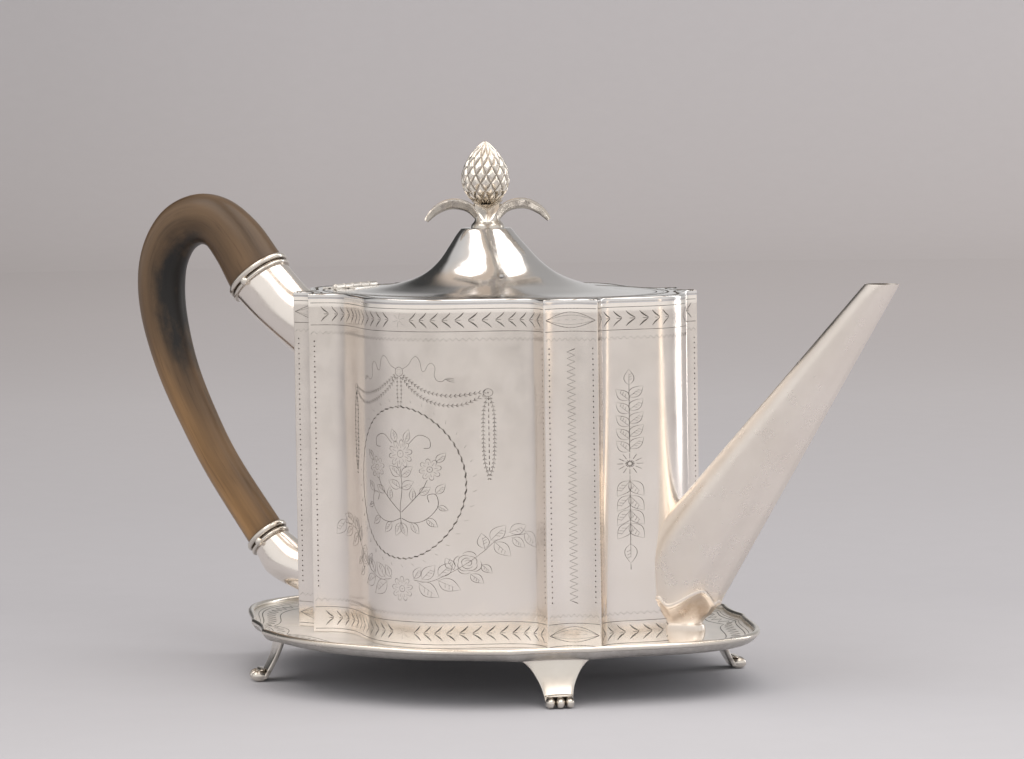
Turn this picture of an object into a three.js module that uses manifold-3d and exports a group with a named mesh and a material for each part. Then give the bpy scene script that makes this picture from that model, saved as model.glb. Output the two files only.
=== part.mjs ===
// Neoclassical silver teapot on its footed stand.
// Millimetres, +Z up. X runs from the handle (-X) to the spout (+X), and the origin is on the floor
// under the middle of the stand.
import * as THREE from "three";
import { mergeVertices } from "three/addons/utils/BufferGeometryUtils.js";
import Module from "manifold-3d";

const wasm = await Module();
wasm.setup();

// ---------- driving dimensions ----------
const GAP = 0.3; // clearance between neighbouring pieces
const SHEET = 0.7; // thickness of the raised silver sheet

// Plan of the pot: eight sharp arrises, four long bowed panels and four concave corner pilasters.
// Long-side arris, end-side arris, then each panel's crown and the hollow beside it.
const POT_PLAN = {
  sideArris: [47.5, 39.4],
  endArris: [61.5, 29.5],
  sideCrown: 53.8,
  sideHollow: 35.4,
  sideHollowAt: 0.82,
  endCrown: 72.4,
  endHollow: 60.0,
  endHollowAt: 0.84,
  pilasterDepth: 4.6,
  sideFullness: 1.25, // above 1 a bowed panel is flatter in front and steeper in the flanks
  endFullness: 1.25,
};
// The stand's panels have no hollow: hollowAt beyond 1 puts the hollow outside the panel.
const STAND_PLAN = {
  sideArris: [49.5, 64.5],
  endArris: [68.2, 46.4],
  sideCrown: 78.6,
  sideHollow: 58.72,
  sideHollowAt: 1.35,
  endCrown: 97.0,
  endHollow: 61.78,
  endHollowAt: 1.35,
  pilasterDepth: 0.9,
  sideFullness: 1.5,
  endFullness: 1.1,
};
const SIDE_STEPS = 20; // segments of a long-side panel
const END_STEPS = 16; // segments of an end panel
const PILASTER_STEPS = 4; // segments of a corner pilaster

// Heights above the floor.
const TRAY_TOP = 15.3; // floor of the stand's dish
const POT_BOTTOM = TRAY_TOP + GAP;
const WALL_TOP = 127.0;
const DECK_BOTTOM = WALL_TOP + GAP;
const DECK_TOP = DECK_BOTTOM + 1.0;
const DOME_TOP = 149.2;
const FINIAL_TOP = 177.9;

// Lid: a flush oval, cut straight across at the hinge.
const LID_HALF = [59.6, 37.6];
const LID_OPENING_HALF = [60.0, 38.0];
const SEAT_HALF = [57.5, 35.5];
const SEAT_WIDTH = 4.0;
const SEAT_HEIGHT = 2.4;
const FLANGE_HALF = [56.5, 34.5];
const FLANGE_HEIGHT = 5.0;
const FLANGE_THICK = 0.8;
const LID_STEPS = 48;

// Hinge, lying flush across the handle end of the lid.
const HINGE_X = -57.6;
const HINGE_Z = 128.9;
const HINGE_HALF_LENGTH = 11.5;
const KNUCKLE_RADIUS = 1.4;
const KNUCKLE_BORE = 0.85;
const HINGE_PIN_RADIUS = 0.55;
const LEAF_THICK = 0.7;
const LEAF_REACH = 5.2;

// Spout: an oval root on the end panel, drawn straight to a small level mouth.
const SPOUT_ROOT = { bottom: 31.0, widest: 41.0, top: 60.5, halfWidth: 10.0, reach: 87.6 };
const SPOUT_MOUTH = { x: 148.8, z: 133.3, halfLength: 5.8, halfWidth: 4.6 };
const SPOUT_WALL = 1.0;
const LIP_WALL = 0.7; // the spout's wall is thinner at the mouth
const SPOUT_STEPS = 24;
const STRAINER_HOLE = 1.5; // radius

// Stand feet.
const FOOT_TOP = 14.85;
const FOOT_THICK = 1.7;
const FOOT_PLACE = [60.5, 52.05]; // where each foot stands, on the line through its corner
const FOOT_FACING = (46 * Math.PI) / 180; // from the X axis round to the way the foot points
const FOOT_SOLE_OUT = 0.4; // from that place outwards to the middle of the sole
const FOOT_ROOT_IN = 6.6; // from that place inwards to the root under the tray

// ---------- materials ----------
function silver(colour = 0xcfcbc4, roughness = 0.22) {
  return new THREE.MeshStandardMaterial({ color: colour, roughness, metalness: 1.0 });
}
function wood() {
  return new THREE.MeshStandardMaterial({ color: 0x6b4a30, roughness: 0.45, metalness: 0.0 });
}

// ---------- solids ----------
function solidOf(geometry) {
  const bare = new THREE.BufferGeometry();
  bare.setAttribute("position", geometry.getAttribute("position").clone());
  if (geometry.index) bare.setIndex(geometry.index.clone());
  const merged = mergeVertices(bare, 1e-4);
  return new wasm.Manifold(
    new wasm.Mesh({
      numProp: 3,
      vertProperties: new Float32Array(merged.attributes.position.array),
      triVerts: new Uint32Array(merged.index.array),
    }),
  );
}
function geometryOf(solid) {
  const mesh = solid.getMesh();
  const geometry = new THREE.BufferGeometry();
  geometry.setAttribute("position", new THREE.BufferAttribute(mesh.vertProperties, 3));
  geometry.setIndex(new THREE.BufferAttribute(mesh.triVerts, 1));
  const flat = geometry.toNonIndexed();
  flat.computeVertexNormals();
  return flat;
}
function joined(geometries) {
  return geometryOf(geometries.map(solidOf).reduce((a, b) => a.add(b)));
}
function cut(geometry, tools) {
  return geometryOf(tools.map(solidOf).reduce((a, b) => a.subtract(b), solidOf(geometry)));
}
function piece(name, geometry, material) {
  const mesh = new THREE.Mesh(geometry, material);
  mesh.name = name;
  return mesh;
}

// A skin over rings of equally many points. An open loft is closed by a fan at each end,
// and a round one joins its last ring back to its first.
function loft(rings, round = false) {
  const n = rings[0].length;
  const points = rings.flat();
  const index = [];
  const last = round ? rings.length : rings.length - 1;
  for (let i = 0; i < last; i++) {
    const a = i * n;
    const b = ((i + 1) % rings.length) * n;
    for (let j = 0; j < n; j++) {
      const k = (j + 1) % n;
      index.push(a + j, a + k, b + k, a + j, b + k, b + j);
    }
  }
  if (!round) {
    [0, rings.length - 1].forEach((r) => {
      const middle = new THREE.Vector3();
      rings[r].forEach((p) => middle.add(p));
      points.push(middle.divideScalar(n));
      const c = points.length - 1;
      for (let j = 0; j < n; j++) {
        const k = (j + 1) % n;
        if (r === 0) index.push(c, r * n + k, r * n + j);
        else index.push(c, r * n + j, r * n + k);
      }
    });
  }
  const geometry = new THREE.BufferGeometry();
  geometry.setFromPoints(points);
  geometry.setIndex(index);
  const solid = solidOf(geometry);
  if (solid.volume() >= 0) return geometryOf(solid);
  for (let i = 0; i < index.length; i += 3) {
    [index[i + 1], index[i + 2]] = [index[i + 2], index[i + 1]];
  }
  geometry.setIndex(index);
  return geometryOf(solidOf(geometry));
}

function cylinderAlong(from, to, radius, sides = 12) {
  const axis = new THREE.Vector3().subVectors(to, from);
  const geometry = new THREE.CylinderGeometry(radius, radius, axis.length(), sides);
  const turn = new THREE.Quaternion().setFromUnitVectors(
    new THREE.Vector3(0, 1, 0),
    axis.clone().normalize(),
  );
  geometry.applyQuaternion(turn);
  geometry.translate(...from.clone().add(to).multiplyScalar(0.5).toArray());
  return geometry;
}

// ---------- the serpentine plan ----------
// A bowed panel: a crown in the middle, a cosine fall to a hollow on each side, and a rise to the arris.
function bow(t, crown, hollow, hollowAt, arris, fullness) {
  const u = Math.abs(t);
  if (u < hollowAt) {
    const fall = Math.pow(u / hollowAt, fullness);
    return hollow + ((crown - hollow) * (1 + Math.cos(Math.PI * fall))) / 2;
  }
  const v = (u - hollowAt) / (1 - hollowAt);
  return hollow + (arris - hollow) * (1 - Math.cos((Math.PI / 2) * v));
}
const sideBow = (plan, t) =>
  bow(t, plan.sideCrown, plan.sideHollow, plan.sideHollowAt, plan.sideArris[1], plan.sideFullness);
const endBow = (plan, t) =>
  bow(t, plan.endCrown, plan.endHollow, plan.endHollowAt, plan.endArris[0], plan.endFullness);

// One quarter of the outline, from the spout end's crown to the long side's crown (+X, +Y).
function quarter(plan) {
  const points = [];
  const [endX, endY] = plan.endArris;
  const [sideX, sideY] = plan.sideArris;
  for (let i = 0; i < END_STEPS / 2; i++) {
    const t = i / (END_STEPS / 2);
    points.push([endBow(plan, t), endY * t]);
  }
  const chord = new THREE.Vector2(sideX - endX, sideY - endY);
  const inward = new THREE.Vector2(-chord.y, chord.x).normalize();
  for (let i = 0; i < PILASTER_STEPS; i++) {
    const t = i / PILASTER_STEPS;
    const depth = plan.pilasterDepth * Math.sin(Math.PI * t);
    points.push([endX + chord.x * t + inward.x * depth, endY + chord.y * t + inward.y * depth]);
  }
  for (let i = 0; i < SIDE_STEPS / 2; i++) {
    const t = 1 - i / (SIDE_STEPS / 2);
    points.push([sideX * t, sideBow(plan, t)]);
  }
  points.push([0, plan.sideCrown]);
  return points;
}
// The whole outline, counter-clockwise from the spout end's crown.
function outline(plan) {
  const q = quarter(plan);
  const back = q.slice(0, -1).reverse().map(([x, y]) => [-x, y]);
  const half = [...q, ...back];
  const front = half.slice(1, -1).reverse().map(([x, y]) => [x, -y]);
  return [...half, ...front].map(([x, y]) => new THREE.Vector2(x, y));
}
// The outline moved inward by a distance, mitred at its corners.
function inset(points, distance) {
  const n = points.length;
  return points.map((p, i) => {
    const before = points[(i + n - 1) % n];
    const after = points[(i + 1) % n];
    const a = new THREE.Vector2().subVectors(p, before).normalize();
    const b = new THREE.Vector2().subVectors(after, p).normalize();
    const na = new THREE.Vector2(-a.y, a.x);
    const nb = new THREE.Vector2(-b.y, b.x);
    const miter = na.clone().add(nb).normalize();
    return p.clone().addScaledVector(miter, distance / Math.max(miter.dot(na), 0.5));
  });
}
const POT_OUTLINE = outline(POT_PLAN);
const STAND_OUTLINE = outline(STAND_PLAN);
// A plan between the pot's foot (share 0) and the stand's edge (share 1).
function between(share) {
  return POT_OUTLINE.map((p, i) => p.clone().lerp(STAND_OUTLINE[i], share));
}
// The pot's outside with a clearance round it, which its neighbours are cut back from.
function wallKeepOut() {
  const round = inset(POT_OUTLINE, -GAP);
  return loft([level(round, POT_BOTTOM - 1), level(round, DECK_TOP + 2)]);
}
const level = (points, z) => points.map((p) => new THREE.Vector3(p.x, p.y, z));
const shrunk = (points, k) => points.map((p) => p.clone().multiplyScalar(k));

function oval(half, steps = LID_STEPS) {
  return Array.from({ length: steps }, (_, i) => {
    const a = (2 * Math.PI * i) / steps;
    return new THREE.Vector2(half[0] * Math.cos(a), half[1] * Math.sin(a));
  });
}
function plate(points, holes, from, to) {
  const shape = new THREE.Shape(points);
  shape.holes = holes.map((h) => new THREE.Path(h));
  const geometry = new THREE.ExtrudeGeometry(shape, { depth: to - from, bevelEnabled: false });
  geometry.translate(0, 0, from);
  return geometryOf(solidOf(geometry));
}

// ---------- stand ----------
function standTray() {
  // Dish profile from the middle of the underside, round the lip and back over the top.
  const rings = [
    level(shrunk(between(0), 0.5), 14.2),
    level(between(0.1), 14.2),
    level(between(0.45), 14.9),
    level(between(0.8), 16.2),
    level(between(0.965), 16.8),
    level(between(0.965), 17.4),
    level(between(0.8), 17.0),
    level(between(0.45), 15.9),
    level(between(0.12), TRAY_TOP),
    level(shrunk(between(0), 0.5), TRAY_TOP),
  ];
  return loft(rings);
}
function standRim() {
  const profile = [
    [0.9, 17.75],
    [0.985, 17.75],
    [1.0, 18.3],
    [0.99, 19.0],
    [0.95, 19.4],
    [0.915, 18.9],
  ];
  return loft(profile.map(([share, z]) => level(between(share), z)), true);
}
// One bracket foot, facing +X. Its own origin is on the floor.
function standFoot() {
  // Half-width against height: a wide root, a waisted leg and a narrow ankle.
  const waist = [
    [FOOT_TOP, 12.0],
    [13.2, 9.6],
    [11.2, 7.7],
    [8.6, 6.2],
    [6.0, 5.1],
    [3.4, 4.4],
    [0, 4.0],
  ];
  const rings = waist.map(([z, half]) => {
    const flare = Math.pow(1 - z / FOOT_TOP, 1.6);
    const out = -FOOT_ROOT_IN + (FOOT_ROOT_IN + FOOT_SOLE_OUT - 0.8) * flare;
    return [
      new THREE.Vector3(out - FOOT_THICK / 2, -half, z),
      new THREE.Vector3(out + FOOT_THICK / 2, -half, z),
      new THREE.Vector3(out + FOOT_THICK / 2, half, z),
      new THREE.Vector3(out - FOOT_THICK / 2, half, z),
    ];
  });
  const toes = [-2.9, 0, 2.9].map((y, i) => {
    const toe = new THREE.SphereGeometry(1, 12, 8);
    toe.scale(i === 1 ? 2.6 : 2.3, 1.7, 1.9);
    toe.translate(FOOT_SOLE_OUT, y, 1.55);
    return toe;
  });
  const floor = new THREE.BoxGeometry(30, 30, 4);
  floor.translate(0, 0, -2);
  return cut(joined([loft(rings), ...toes]), [floor]);
}
function stand() {
  const group = new THREE.Group();
  group.add(piece("stand_tray", standTray(), silver()));
  group.add(piece("stand_rim", standRim(), silver(0xd8d3ca, 0.18)));
  const corners = [
    ["stand_foot_front_right", 1, -1, -FOOT_FACING],
    ["stand_foot_front_left", -1, -1, Math.PI + FOOT_FACING],
    ["stand_foot_back_right", 1, 1, FOOT_FACING],
    ["stand_foot_back_left", -1, 1, Math.PI - FOOT_FACING],
  ];
  for (const [name, alongX, alongY, angle] of corners) {
    const foot = piece(name, standFoot(), silver());
    foot.position.set(alongX * FOOT_PLACE[0], alongY * FOOT_PLACE[1], 0);
    foot.rotation.z = angle;
    group.add(foot);
  }
  return group;
}

// ---------- pot ----------
const endWallX = (y) => endBow(POT_PLAN, y / POT_PLAN.endArris[1]);

function strainerHoles() {
  const holes = [];
  for (let row = 0; row < 6; row++) {
    const count = row % 2 === 0 ? 3 : 2;
    for (let i = 0; i < count; i++) {
      const y = (i - (count - 1) / 2) * 4.6;
      const z = 34 + row * 4.6;
      holes.push(
        cylinderAlong(
          new THREE.Vector3(60, y, z),
          new THREE.Vector3(90, y, z),
          STRAINER_HOLE,
          8,
        ),
      );
    }
  }
  return holes;
}
function bodyWall() {
  const inner = inset(POT_OUTLINE, SHEET);
  const shell = loft(
    [
      level(POT_OUTLINE, POT_BOTTOM),
      level(POT_OUTLINE, WALL_TOP),
      level(inner, WALL_TOP),
      level(inner, POT_BOTTOM),
    ],
    true,
  );
  return cut(shell, strainerHoles());
}
function basePlate() {
  return plate(inset(POT_OUTLINE, SHEET + GAP), [], POT_BOTTOM, POT_BOTTOM + 1.0);
}
function deck() {
  const hole = oval(LID_OPENING_HALF);
  const whole = plate(POT_OUTLINE, [hole], DECK_BOTTOM, DECK_TOP);
  const notch = new THREE.BoxGeometry(6, 2 * HINGE_HALF_LENGTH + 1.0, 6);
  notch.translate(HINGE_X + 1.2, 0, DECK_TOP);
  return cut(whole, [notch]);
}
function lidSeat() {
  const outer = SEAT_HALF.map((h) => h + SEAT_WIDTH);
  return plate(oval(outer), [oval(SEAT_HALF)], WALL_TOP - SEAT_HEIGHT, WALL_TOP);
}

// The spout's root curve. It climbs the end panel from its two lower corners, and between them it
// runs level round the open underside. Angle 0 is the tip of the underside, half a turn is the top.
function spoutRoot(angle, shrink, standOff) {
  const { bottom, widest, top, halfWidth, reach } = SPOUT_ROOT;
  const across = (halfWidth - shrink) * Math.sin(angle);
  const c = Math.cos(angle);
  const corner = Math.cos((75 * Math.PI) / 180);
  const lie = endWallX(across) + standOff;
  if (c <= 0) {
    return new THREE.Vector3(lie, across, widest - (top - shrink * 1.4 - widest) * c);
  }
  const fall = Math.min(1, c / corner);
  const out = Math.pow(Math.max(0, (c - corner) / (1 - corner)), 0.9);
  const x = lie + (reach - shrink - lie) * out;
  return new THREE.Vector3(x, across, widest - (widest - bottom) * fall);
}
function spoutRing(share, shrink, standOff) {
  const { x, z, halfLength, halfWidth } = SPOUT_MOUTH;
  const wall = Math.min(shrink, LIP_WALL);
  return Array.from({ length: SPOUT_STEPS }, (_, i) => {
    const angle = (2 * Math.PI * i) / SPOUT_STEPS;
    const mouth = new THREE.Vector3(
      x + (halfLength - wall) * Math.cos(angle),
      (halfWidth - wall) * Math.sin(angle),
      z,
    );
    return spoutRoot(angle, shrink, standOff).lerp(mouth, share);
  });
}
function spout() {
  const outer = [0, 0.33, 0.66, 1].map((s) => spoutRing(s, 0, GAP));
  const inner = [1, 0.66, 0.33, 0].map((s) => spoutRing(s, SPOUT_WALL, GAP));
  return loft([...outer, ...inner], true);
}
// The shaped piece under the spout: a D in plan that shrinks downwards in a hollow curve.
function spoutReturn() {
  const levels = [
    [SPOUT_ROOT.bottom - GAP, 87.2, 10.0],
    [28.5, 85.4, 9.6],
    [25.0, 82.4, 8.2],
    [21.8, 81.0, 6.6],
    [21.4, 81.4, 7.0],
    [19.2, 81.0, 6.9],
    [18.6, 80.2, 6.5],
  ];
  const steps = 12;
  const rings = levels.map(([z, reach, half]) => {
    const points = [];
    for (let i = 0; i <= steps; i++) {
      const angle = -Math.PI / 2 + (Math.PI * i) / steps;
      const y = half * Math.sin(angle);
      const lie = endWallX(half) - 1;
      points.push(new THREE.Vector3(lie + (reach - lie) * Math.pow(Math.cos(angle), 0.8), y, z));
    }
    return points;
  });
  return cut(loft(rings), [wallKeepOut()]);
}

// ---------- handle ----------
// Middle line of the wooden handle in the XZ plane, with its depth in that plane at each point.
const HANDLE = [
  [-100.5, 132.7, 22.4],
  [-108.0, 142.4, 20.6],
  [-116.4, 149.2, 18.4],
  [-125.8, 150.6, 17.6],
  [-135.0, 146.6, 18.0],
  [-141.1, 138.0, 18.3],
  [-143.1, 127.4, 18.3],
  [-141.6, 114.4, 17.4],
  [-136.2, 98.0, 15.8],
  [-127.8, 81.8, 14.6],
  [-116.8, 64.6, 14.0],
  [-98.7, 42.4, 14.4],
];
const HANDLE_BREADTH = 0.76; // breadth along Y as a share of the depth
const HANDLE_STEPS = 34;
const handleLine = new THREE.CatmullRomCurve3(HANDLE.map(([x, z]) => new THREE.Vector3(x, 0, z)));
const handleDepth = new THREE.CatmullRomCurve3(HANDLE.map(([, , d], i) => new THREE.Vector3(i, d, 0)));
function ovalRing(centre, direction, halfDepth, halfBreadth, sides = 16) {
  const across = new THREE.Vector3(direction.z, 0, -direction.x);
  return Array.from({ length: sides }, (_, i) => {
    const a = (2 * Math.PI * i) / sides;
    return centre
      .clone()
      .addScaledVector(across, halfDepth * Math.cos(a))
      .add(new THREE.Vector3(0, halfBreadth * Math.sin(a), 0));
  });
}
function handleHalves(t) {
  const half = handleDepth.getPoint(t).y / 2;
  return [half, half * HANDLE_BREADTH];
}
function handleRing(t) {
  return ovalRing(handleLine.getPoint(t), handleLine.getTangent(t), ...handleHalves(t));
}
// Ends of the handle: where it is, which way it points into the socket, and its half-sizes.
function handleEnd(t, sign) {
  return {
    at: handleLine.getPoint(t),
    into: handleLine.getTangent(t).multiplyScalar(sign),
    half: handleHalves(t),
  };
}
const UPPER_END = handleEnd(0, -1);
const LOWER_END = handleEnd(1, 1);
const TENON = { length: 9, shrink: 2.2 };

function tenonRings(end, reverse) {
  const rings = [0.001, 1].map((s) =>
    ovalRing(
      end.at.clone().addScaledVector(end.into, TENON.length * s),
      reverse ? end.into.clone().negate() : end.into,
      end.half[0] - TENON.shrink,
      end.half[1] - TENON.shrink,
    ),
  );
  return reverse ? rings.reverse() : rings;
}
function handleWood() {
  const rings = Array.from({ length: HANDLE_STEPS + 1 }, (_, i) => handleRing(i / HANDLE_STEPS));
  return loft([...tenonRings(UPPER_END, true), ...rings, ...tenonRings(LOWER_END, false)]);
}
// Collar: two beads with a groove between them, round the mouth of the socket.
function collar(end) {
  const profile = [
    [GAP, 0.2],
    [0.8, 1.1],
    [1.8, 1.2],
    [2.5, 0.4],
    [3.2, 1.0],
    [COLLAR_LENGTH, 0.7],
  ];
  const bore = GAP - TENON.shrink;
  const stations = [...profile, [COLLAR_LENGTH, bore], [GAP, bore]];
  const rings = stations.map(([along, out]) =>
    ovalRing(
      end.at.clone().addScaledVector(end.into, along),
      end.into,
      end.half[0] + out,
      end.half[1] + out,
    ),
  );
  return loft(rings, true);
}
// Socket: from the collar, through a middle section, to an oval foot on the handle-end wall.
// The sections are a middle point with half-depth and half-breadth, and a foot height with its halves.
const UPPER_SOCKET = { middle: [-86.5, 120.0, 10.9, 8.2], foot: [109.0, 15.0, 9.4] };
const LOWER_SOCKET = { middle: [-86.5, 32.4, 8.9, 7.0], foot: [27.6, 9.4, 7.4] };
const COLLAR_LENGTH = 4.4;
const WALL_BURY = 6; // how far a socket's foot runs on behind the wall's face before it is cut off there

function socket(end, { middle, foot }) {
  const bore = GAP - TENON.shrink;
  const mouth = end.at.clone().addScaledVector(end.into, COLLAR_LENGTH + GAP);
  const floor = end.at.clone().addScaledVector(end.into, TENON.length + GAP);
  const section = (centre, grow) =>
    ovalRing(centre, end.into, end.half[0] + grow, end.half[1] + grow);
  const [x, z, halfDepth, halfBreadth] = middle;
  const swell = ovalRing(new THREE.Vector3(x, 0, z), end.into, halfDepth, halfBreadth);
  const [footZ, footHalfHeight, footHalfWidth] = foot;
  const buried = swell.map((_, i) => {
    const a = (2 * Math.PI * i) / swell.length;
    return new THREE.Vector3(
      WALL_BURY - POT_PLAN.endCrown,
      footHalfWidth * Math.sin(a),
      footZ - footHalfHeight * Math.cos(a),
    );
  });
  const rings = [section(floor, bore), section(mouth, bore), section(mouth, -0.4), swell, buried];
  return cut(loft(rings), [wallKeepOut()]);
}
// A rivet through collar and tenon, and the hole it needs.
function crossPin(end, along, radius, reach) {
  const centre = end.at.clone().addScaledVector(end.into, along);
  return cylinderAlong(
    new THREE.Vector3(centre.x, -reach, centre.z),
    new THREE.Vector3(centre.x, reach, centre.z),
    radius,
    10,
  );
}
const PIN_ALONG = 3.4;
const PIN_RADIUS = 1.0;
const PIN_HEAD = 1.7; // how far the pin stands out past the wood's breadth
function handleGroup() {
  const group = new THREE.Group();
  const bright = () => silver(0xd8d3ca, 0.18);
  const hole = (end) => crossPin(end, PIN_ALONG, PIN_RADIUS + GAP, 20);
  const pin = (end) => crossPin(end, PIN_ALONG, PIN_RADIUS, end.half[1] + PIN_HEAD);
  group.add(piece("handle", cut(handleWood(), [hole(UPPER_END), hole(LOWER_END)]), wood()));
  const ends = [
    ["upper", UPPER_END, UPPER_SOCKET],
    ["lower", LOWER_END, LOWER_SOCKET],
  ];
  for (const [name, end, shape] of ends) {
    group.add(piece(name + "_handle_socket", socket(end, shape), silver()));
    group.add(piece(name + "_socket_collar", cut(collar(end), [hole(end)]), bright()));
    group.add(piece(name + "_handle_pin", pin(end), silver()));
  }
  return group;
}

// ---------- hinge ----------
// Five knuckles share the barrel: three on the deck's leaf and two on the lid's.
function hingeLeaf(onDeck) {
  const pitch = (2 * HINGE_HALF_LENGTH) / 5;
  const slots = onDeck ? [0, 2, 4] : [1, 3];
  const knuckles = slots.map((slot) => {
    const from = -HINGE_HALF_LENGTH + pitch * slot + GAP / 2;
    const to = from + pitch - GAP;
    return cylinderAlong(
      new THREE.Vector3(HINGE_X, from, HINGE_Z),
      new THREE.Vector3(HINGE_X, to, HINGE_Z),
      KNUCKLE_RADIUS,
      16,
    );
  });
  const side = onDeck ? -1 : 1;
  const first = -HINGE_HALF_LENGTH + (onDeck ? GAP / 2 : pitch + GAP / 2);
  const last = -first;
  const bottom = DECK_TOP + GAP;
  const strip = new THREE.BoxGeometry(LEAF_REACH - 1.8, last - first, LEAF_THICK);
  strip.translate(HINGE_X + side * (1.8 + (LEAF_REACH - 1.8) / 2), 0, bottom + LEAF_THICK / 2);
  const arms = slots.map((slot) => {
    const middle = -HINGE_HALF_LENGTH + pitch * (slot + 0.5);
    const arm = new THREE.BoxGeometry(2.4, pitch - GAP, LEAF_THICK);
    arm.translate(HINGE_X + side * 1.6, middle, bottom + LEAF_THICK / 2);
    return arm;
  });
  const bore = cylinderAlong(
    new THREE.Vector3(HINGE_X, -20, HINGE_Z),
    new THREE.Vector3(HINGE_X, 20, HINGE_Z),
    KNUCKLE_BORE,
    12,
  );
  return cut(joined([...knuckles, ...arms, strip]), [bore]);
}
function hingePin() {
  const reach = HINGE_HALF_LENGTH + 0.4;
  return cylinderAlong(
    new THREE.Vector3(HINGE_X, -reach, HINGE_Z),
    new THREE.Vector3(HINGE_X, reach, HINGE_Z),
    HINGE_PIN_RADIUS,
    12,
  );
}

function pot() {
  const group = new THREE.Group();
  group.add(piece("body_wall", bodyWall(), silver()));
  group.add(piece("base_plate", basePlate(), silver()));
  group.add(piece("deck", deck(), silver()));
  group.add(piece("lid_seat", lidSeat(), silver()));
  group.add(piece("spout", spout(), silver(0xc4bcb0, 0.3)));
  group.add(piece("spout_return", spoutReturn(), silver(0xbfb3a3, 0.3)));
  group.add(handleGroup());
  group.add(piece("hinge_leaf_deck", hingeLeaf(true), silver()));
  group.add(piece("hinge_pin", hingePin(), silver()));
  return group;
}

// ---------- lid ----------
// Half-sizes and heights of the outer skin from the seam to the dome's flat top.
const DOME = [
  [...LID_HALF, DECK_TOP],
  [51.0, 32.2, DECK_TOP + 0.1],
  [43.0, 27.6, DECK_TOP + 0.9],
  [33.0, 21.6, DECK_TOP + 2.8],
  [24.8, 16.8, DECK_TOP + 5.6],
  [18.4, 13.8, DECK_TOP + 9.8],
  [13.8, 11.6, DECK_TOP + 15.0],
  [9.6, 9.2, DOME_TOP - 0.7],
  [8.2, 8.0, DOME_TOP],
];
const FINIAL_BORE = 1.9;
function lidShell() {
  const up = DOME.map(([a, b, z]) => level(oval([a, b]), z));
  const under = DOME.slice()
    .reverse()
    .map(([a, b, z], i) => {
      const thick = i < 2 ? SHEET : SHEET * 0.75;
      const last = i === DOME.length - 1;
      return level(oval(last ? [a, b] : [a - 0.45, b - 0.45]), z - thick);
    });
  const top = level(oval([FINIAL_BORE, FINIAL_BORE]), DOME_TOP);
  const topUnder = level(oval([FINIAL_BORE, FINIAL_BORE]), DOME_TOP - SHEET);
  const shell = loft([...up, top, topUnder, ...under], true);
  const hingeSide = new THREE.BoxGeometry(10, 80, 10);
  hingeSide.translate(HINGE_X + 1.8 - 5, 0, DECK_TOP);
  const vent = cylinderAlong(
    new THREE.Vector3(13.2, -13.9, DECK_TOP + 1),
    new THREE.Vector3(13.2, -13.9, DECK_TOP + 12),
    0.9,
    10,
  );
  return cut(shell, [hingeSide, vent]);
}
function lidFlange() {
  const inner = FLANGE_HALF.map((h) => h - FLANGE_THICK);
  const top = DECK_TOP - SHEET - GAP;
  return plate(oval(FLANGE_HALF), [oval(inner)], top - FLANGE_HEIGHT, top);
}
// One calyx leaf, springing from the stem, arching over and drooping at its tip.
function calyxLeaf(angle) {
  // Distance from the axis, height, half-width and thickness along the leaf.
  const stations = [
    [1.2, 150.6, 1.6, 1.6],
    [3.4, 153.6, 2.6, 1.4],
    [6.4, 156.4, 3.6, 1.2],
    [10.2, 157.8, 4.2, 1.1],
    [14.2, 157.2, 3.9, 1.0],
    [17.8, 154.8, 2.6, 1.0],
    [20.4, 151.8, 0.9, 0.9],
  ];
  const rings = stations.map(([r, z, half, thick], i) => {
    const [rb, zb] = stations[Math.max(i - 1, 0)];
    const [ra, za] = stations[Math.min(i + 1, stations.length - 1)];
    const along = new THREE.Vector2(ra - rb, za - zb).normalize();
    const up = new THREE.Vector2(-along.y, along.x).multiplyScalar(thick / 2);
    return [
      new THREE.Vector3(r - up.x, -half, z - up.y - 0.5),
      new THREE.Vector3(r - up.x, 0, z - up.y),
      new THREE.Vector3(r - up.x, half, z - up.y - 0.5),
      new THREE.Vector3(r + up.x, half, z + up.y - 0.5),
      new THREE.Vector3(r + up.x, 0, z + up.y + 0.3),
      new THREE.Vector3(r + up.x, -half, z + up.y - 0.5),
    ];
  });
  const leaf = loft(rings);
  leaf.rotateZ(angle);
  return leaf;
}
const FINIAL_TURN = THREE.MathUtils.degToRad(35);
function finialCalyx() {
  const hub = new THREE.LatheGeometry(
    [
      [0, DOME_TOP + GAP],
      [4.6, DOME_TOP + GAP],
      [4.0, 150.8],
      [3.0, 152.6],
      [3.4, 155.2],
      [0, 155.4],
    ].map(([r, z]) => new THREE.Vector2(r, z)),
    20,
  );
  hub.rotateX(Math.PI / 2);
  const leaves = [0, 1, 2, 3].map((i) => calyxLeaf(FINIAL_TURN + (i * Math.PI) / 2));
  const bore = new THREE.CylinderGeometry(1.5, 1.5, 20, 12);
  bore.rotateX(Math.PI / 2);
  bore.translate(0, 0, 152);
  return cut(joined([hub, ...leaves]), [bore]);
}
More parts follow.
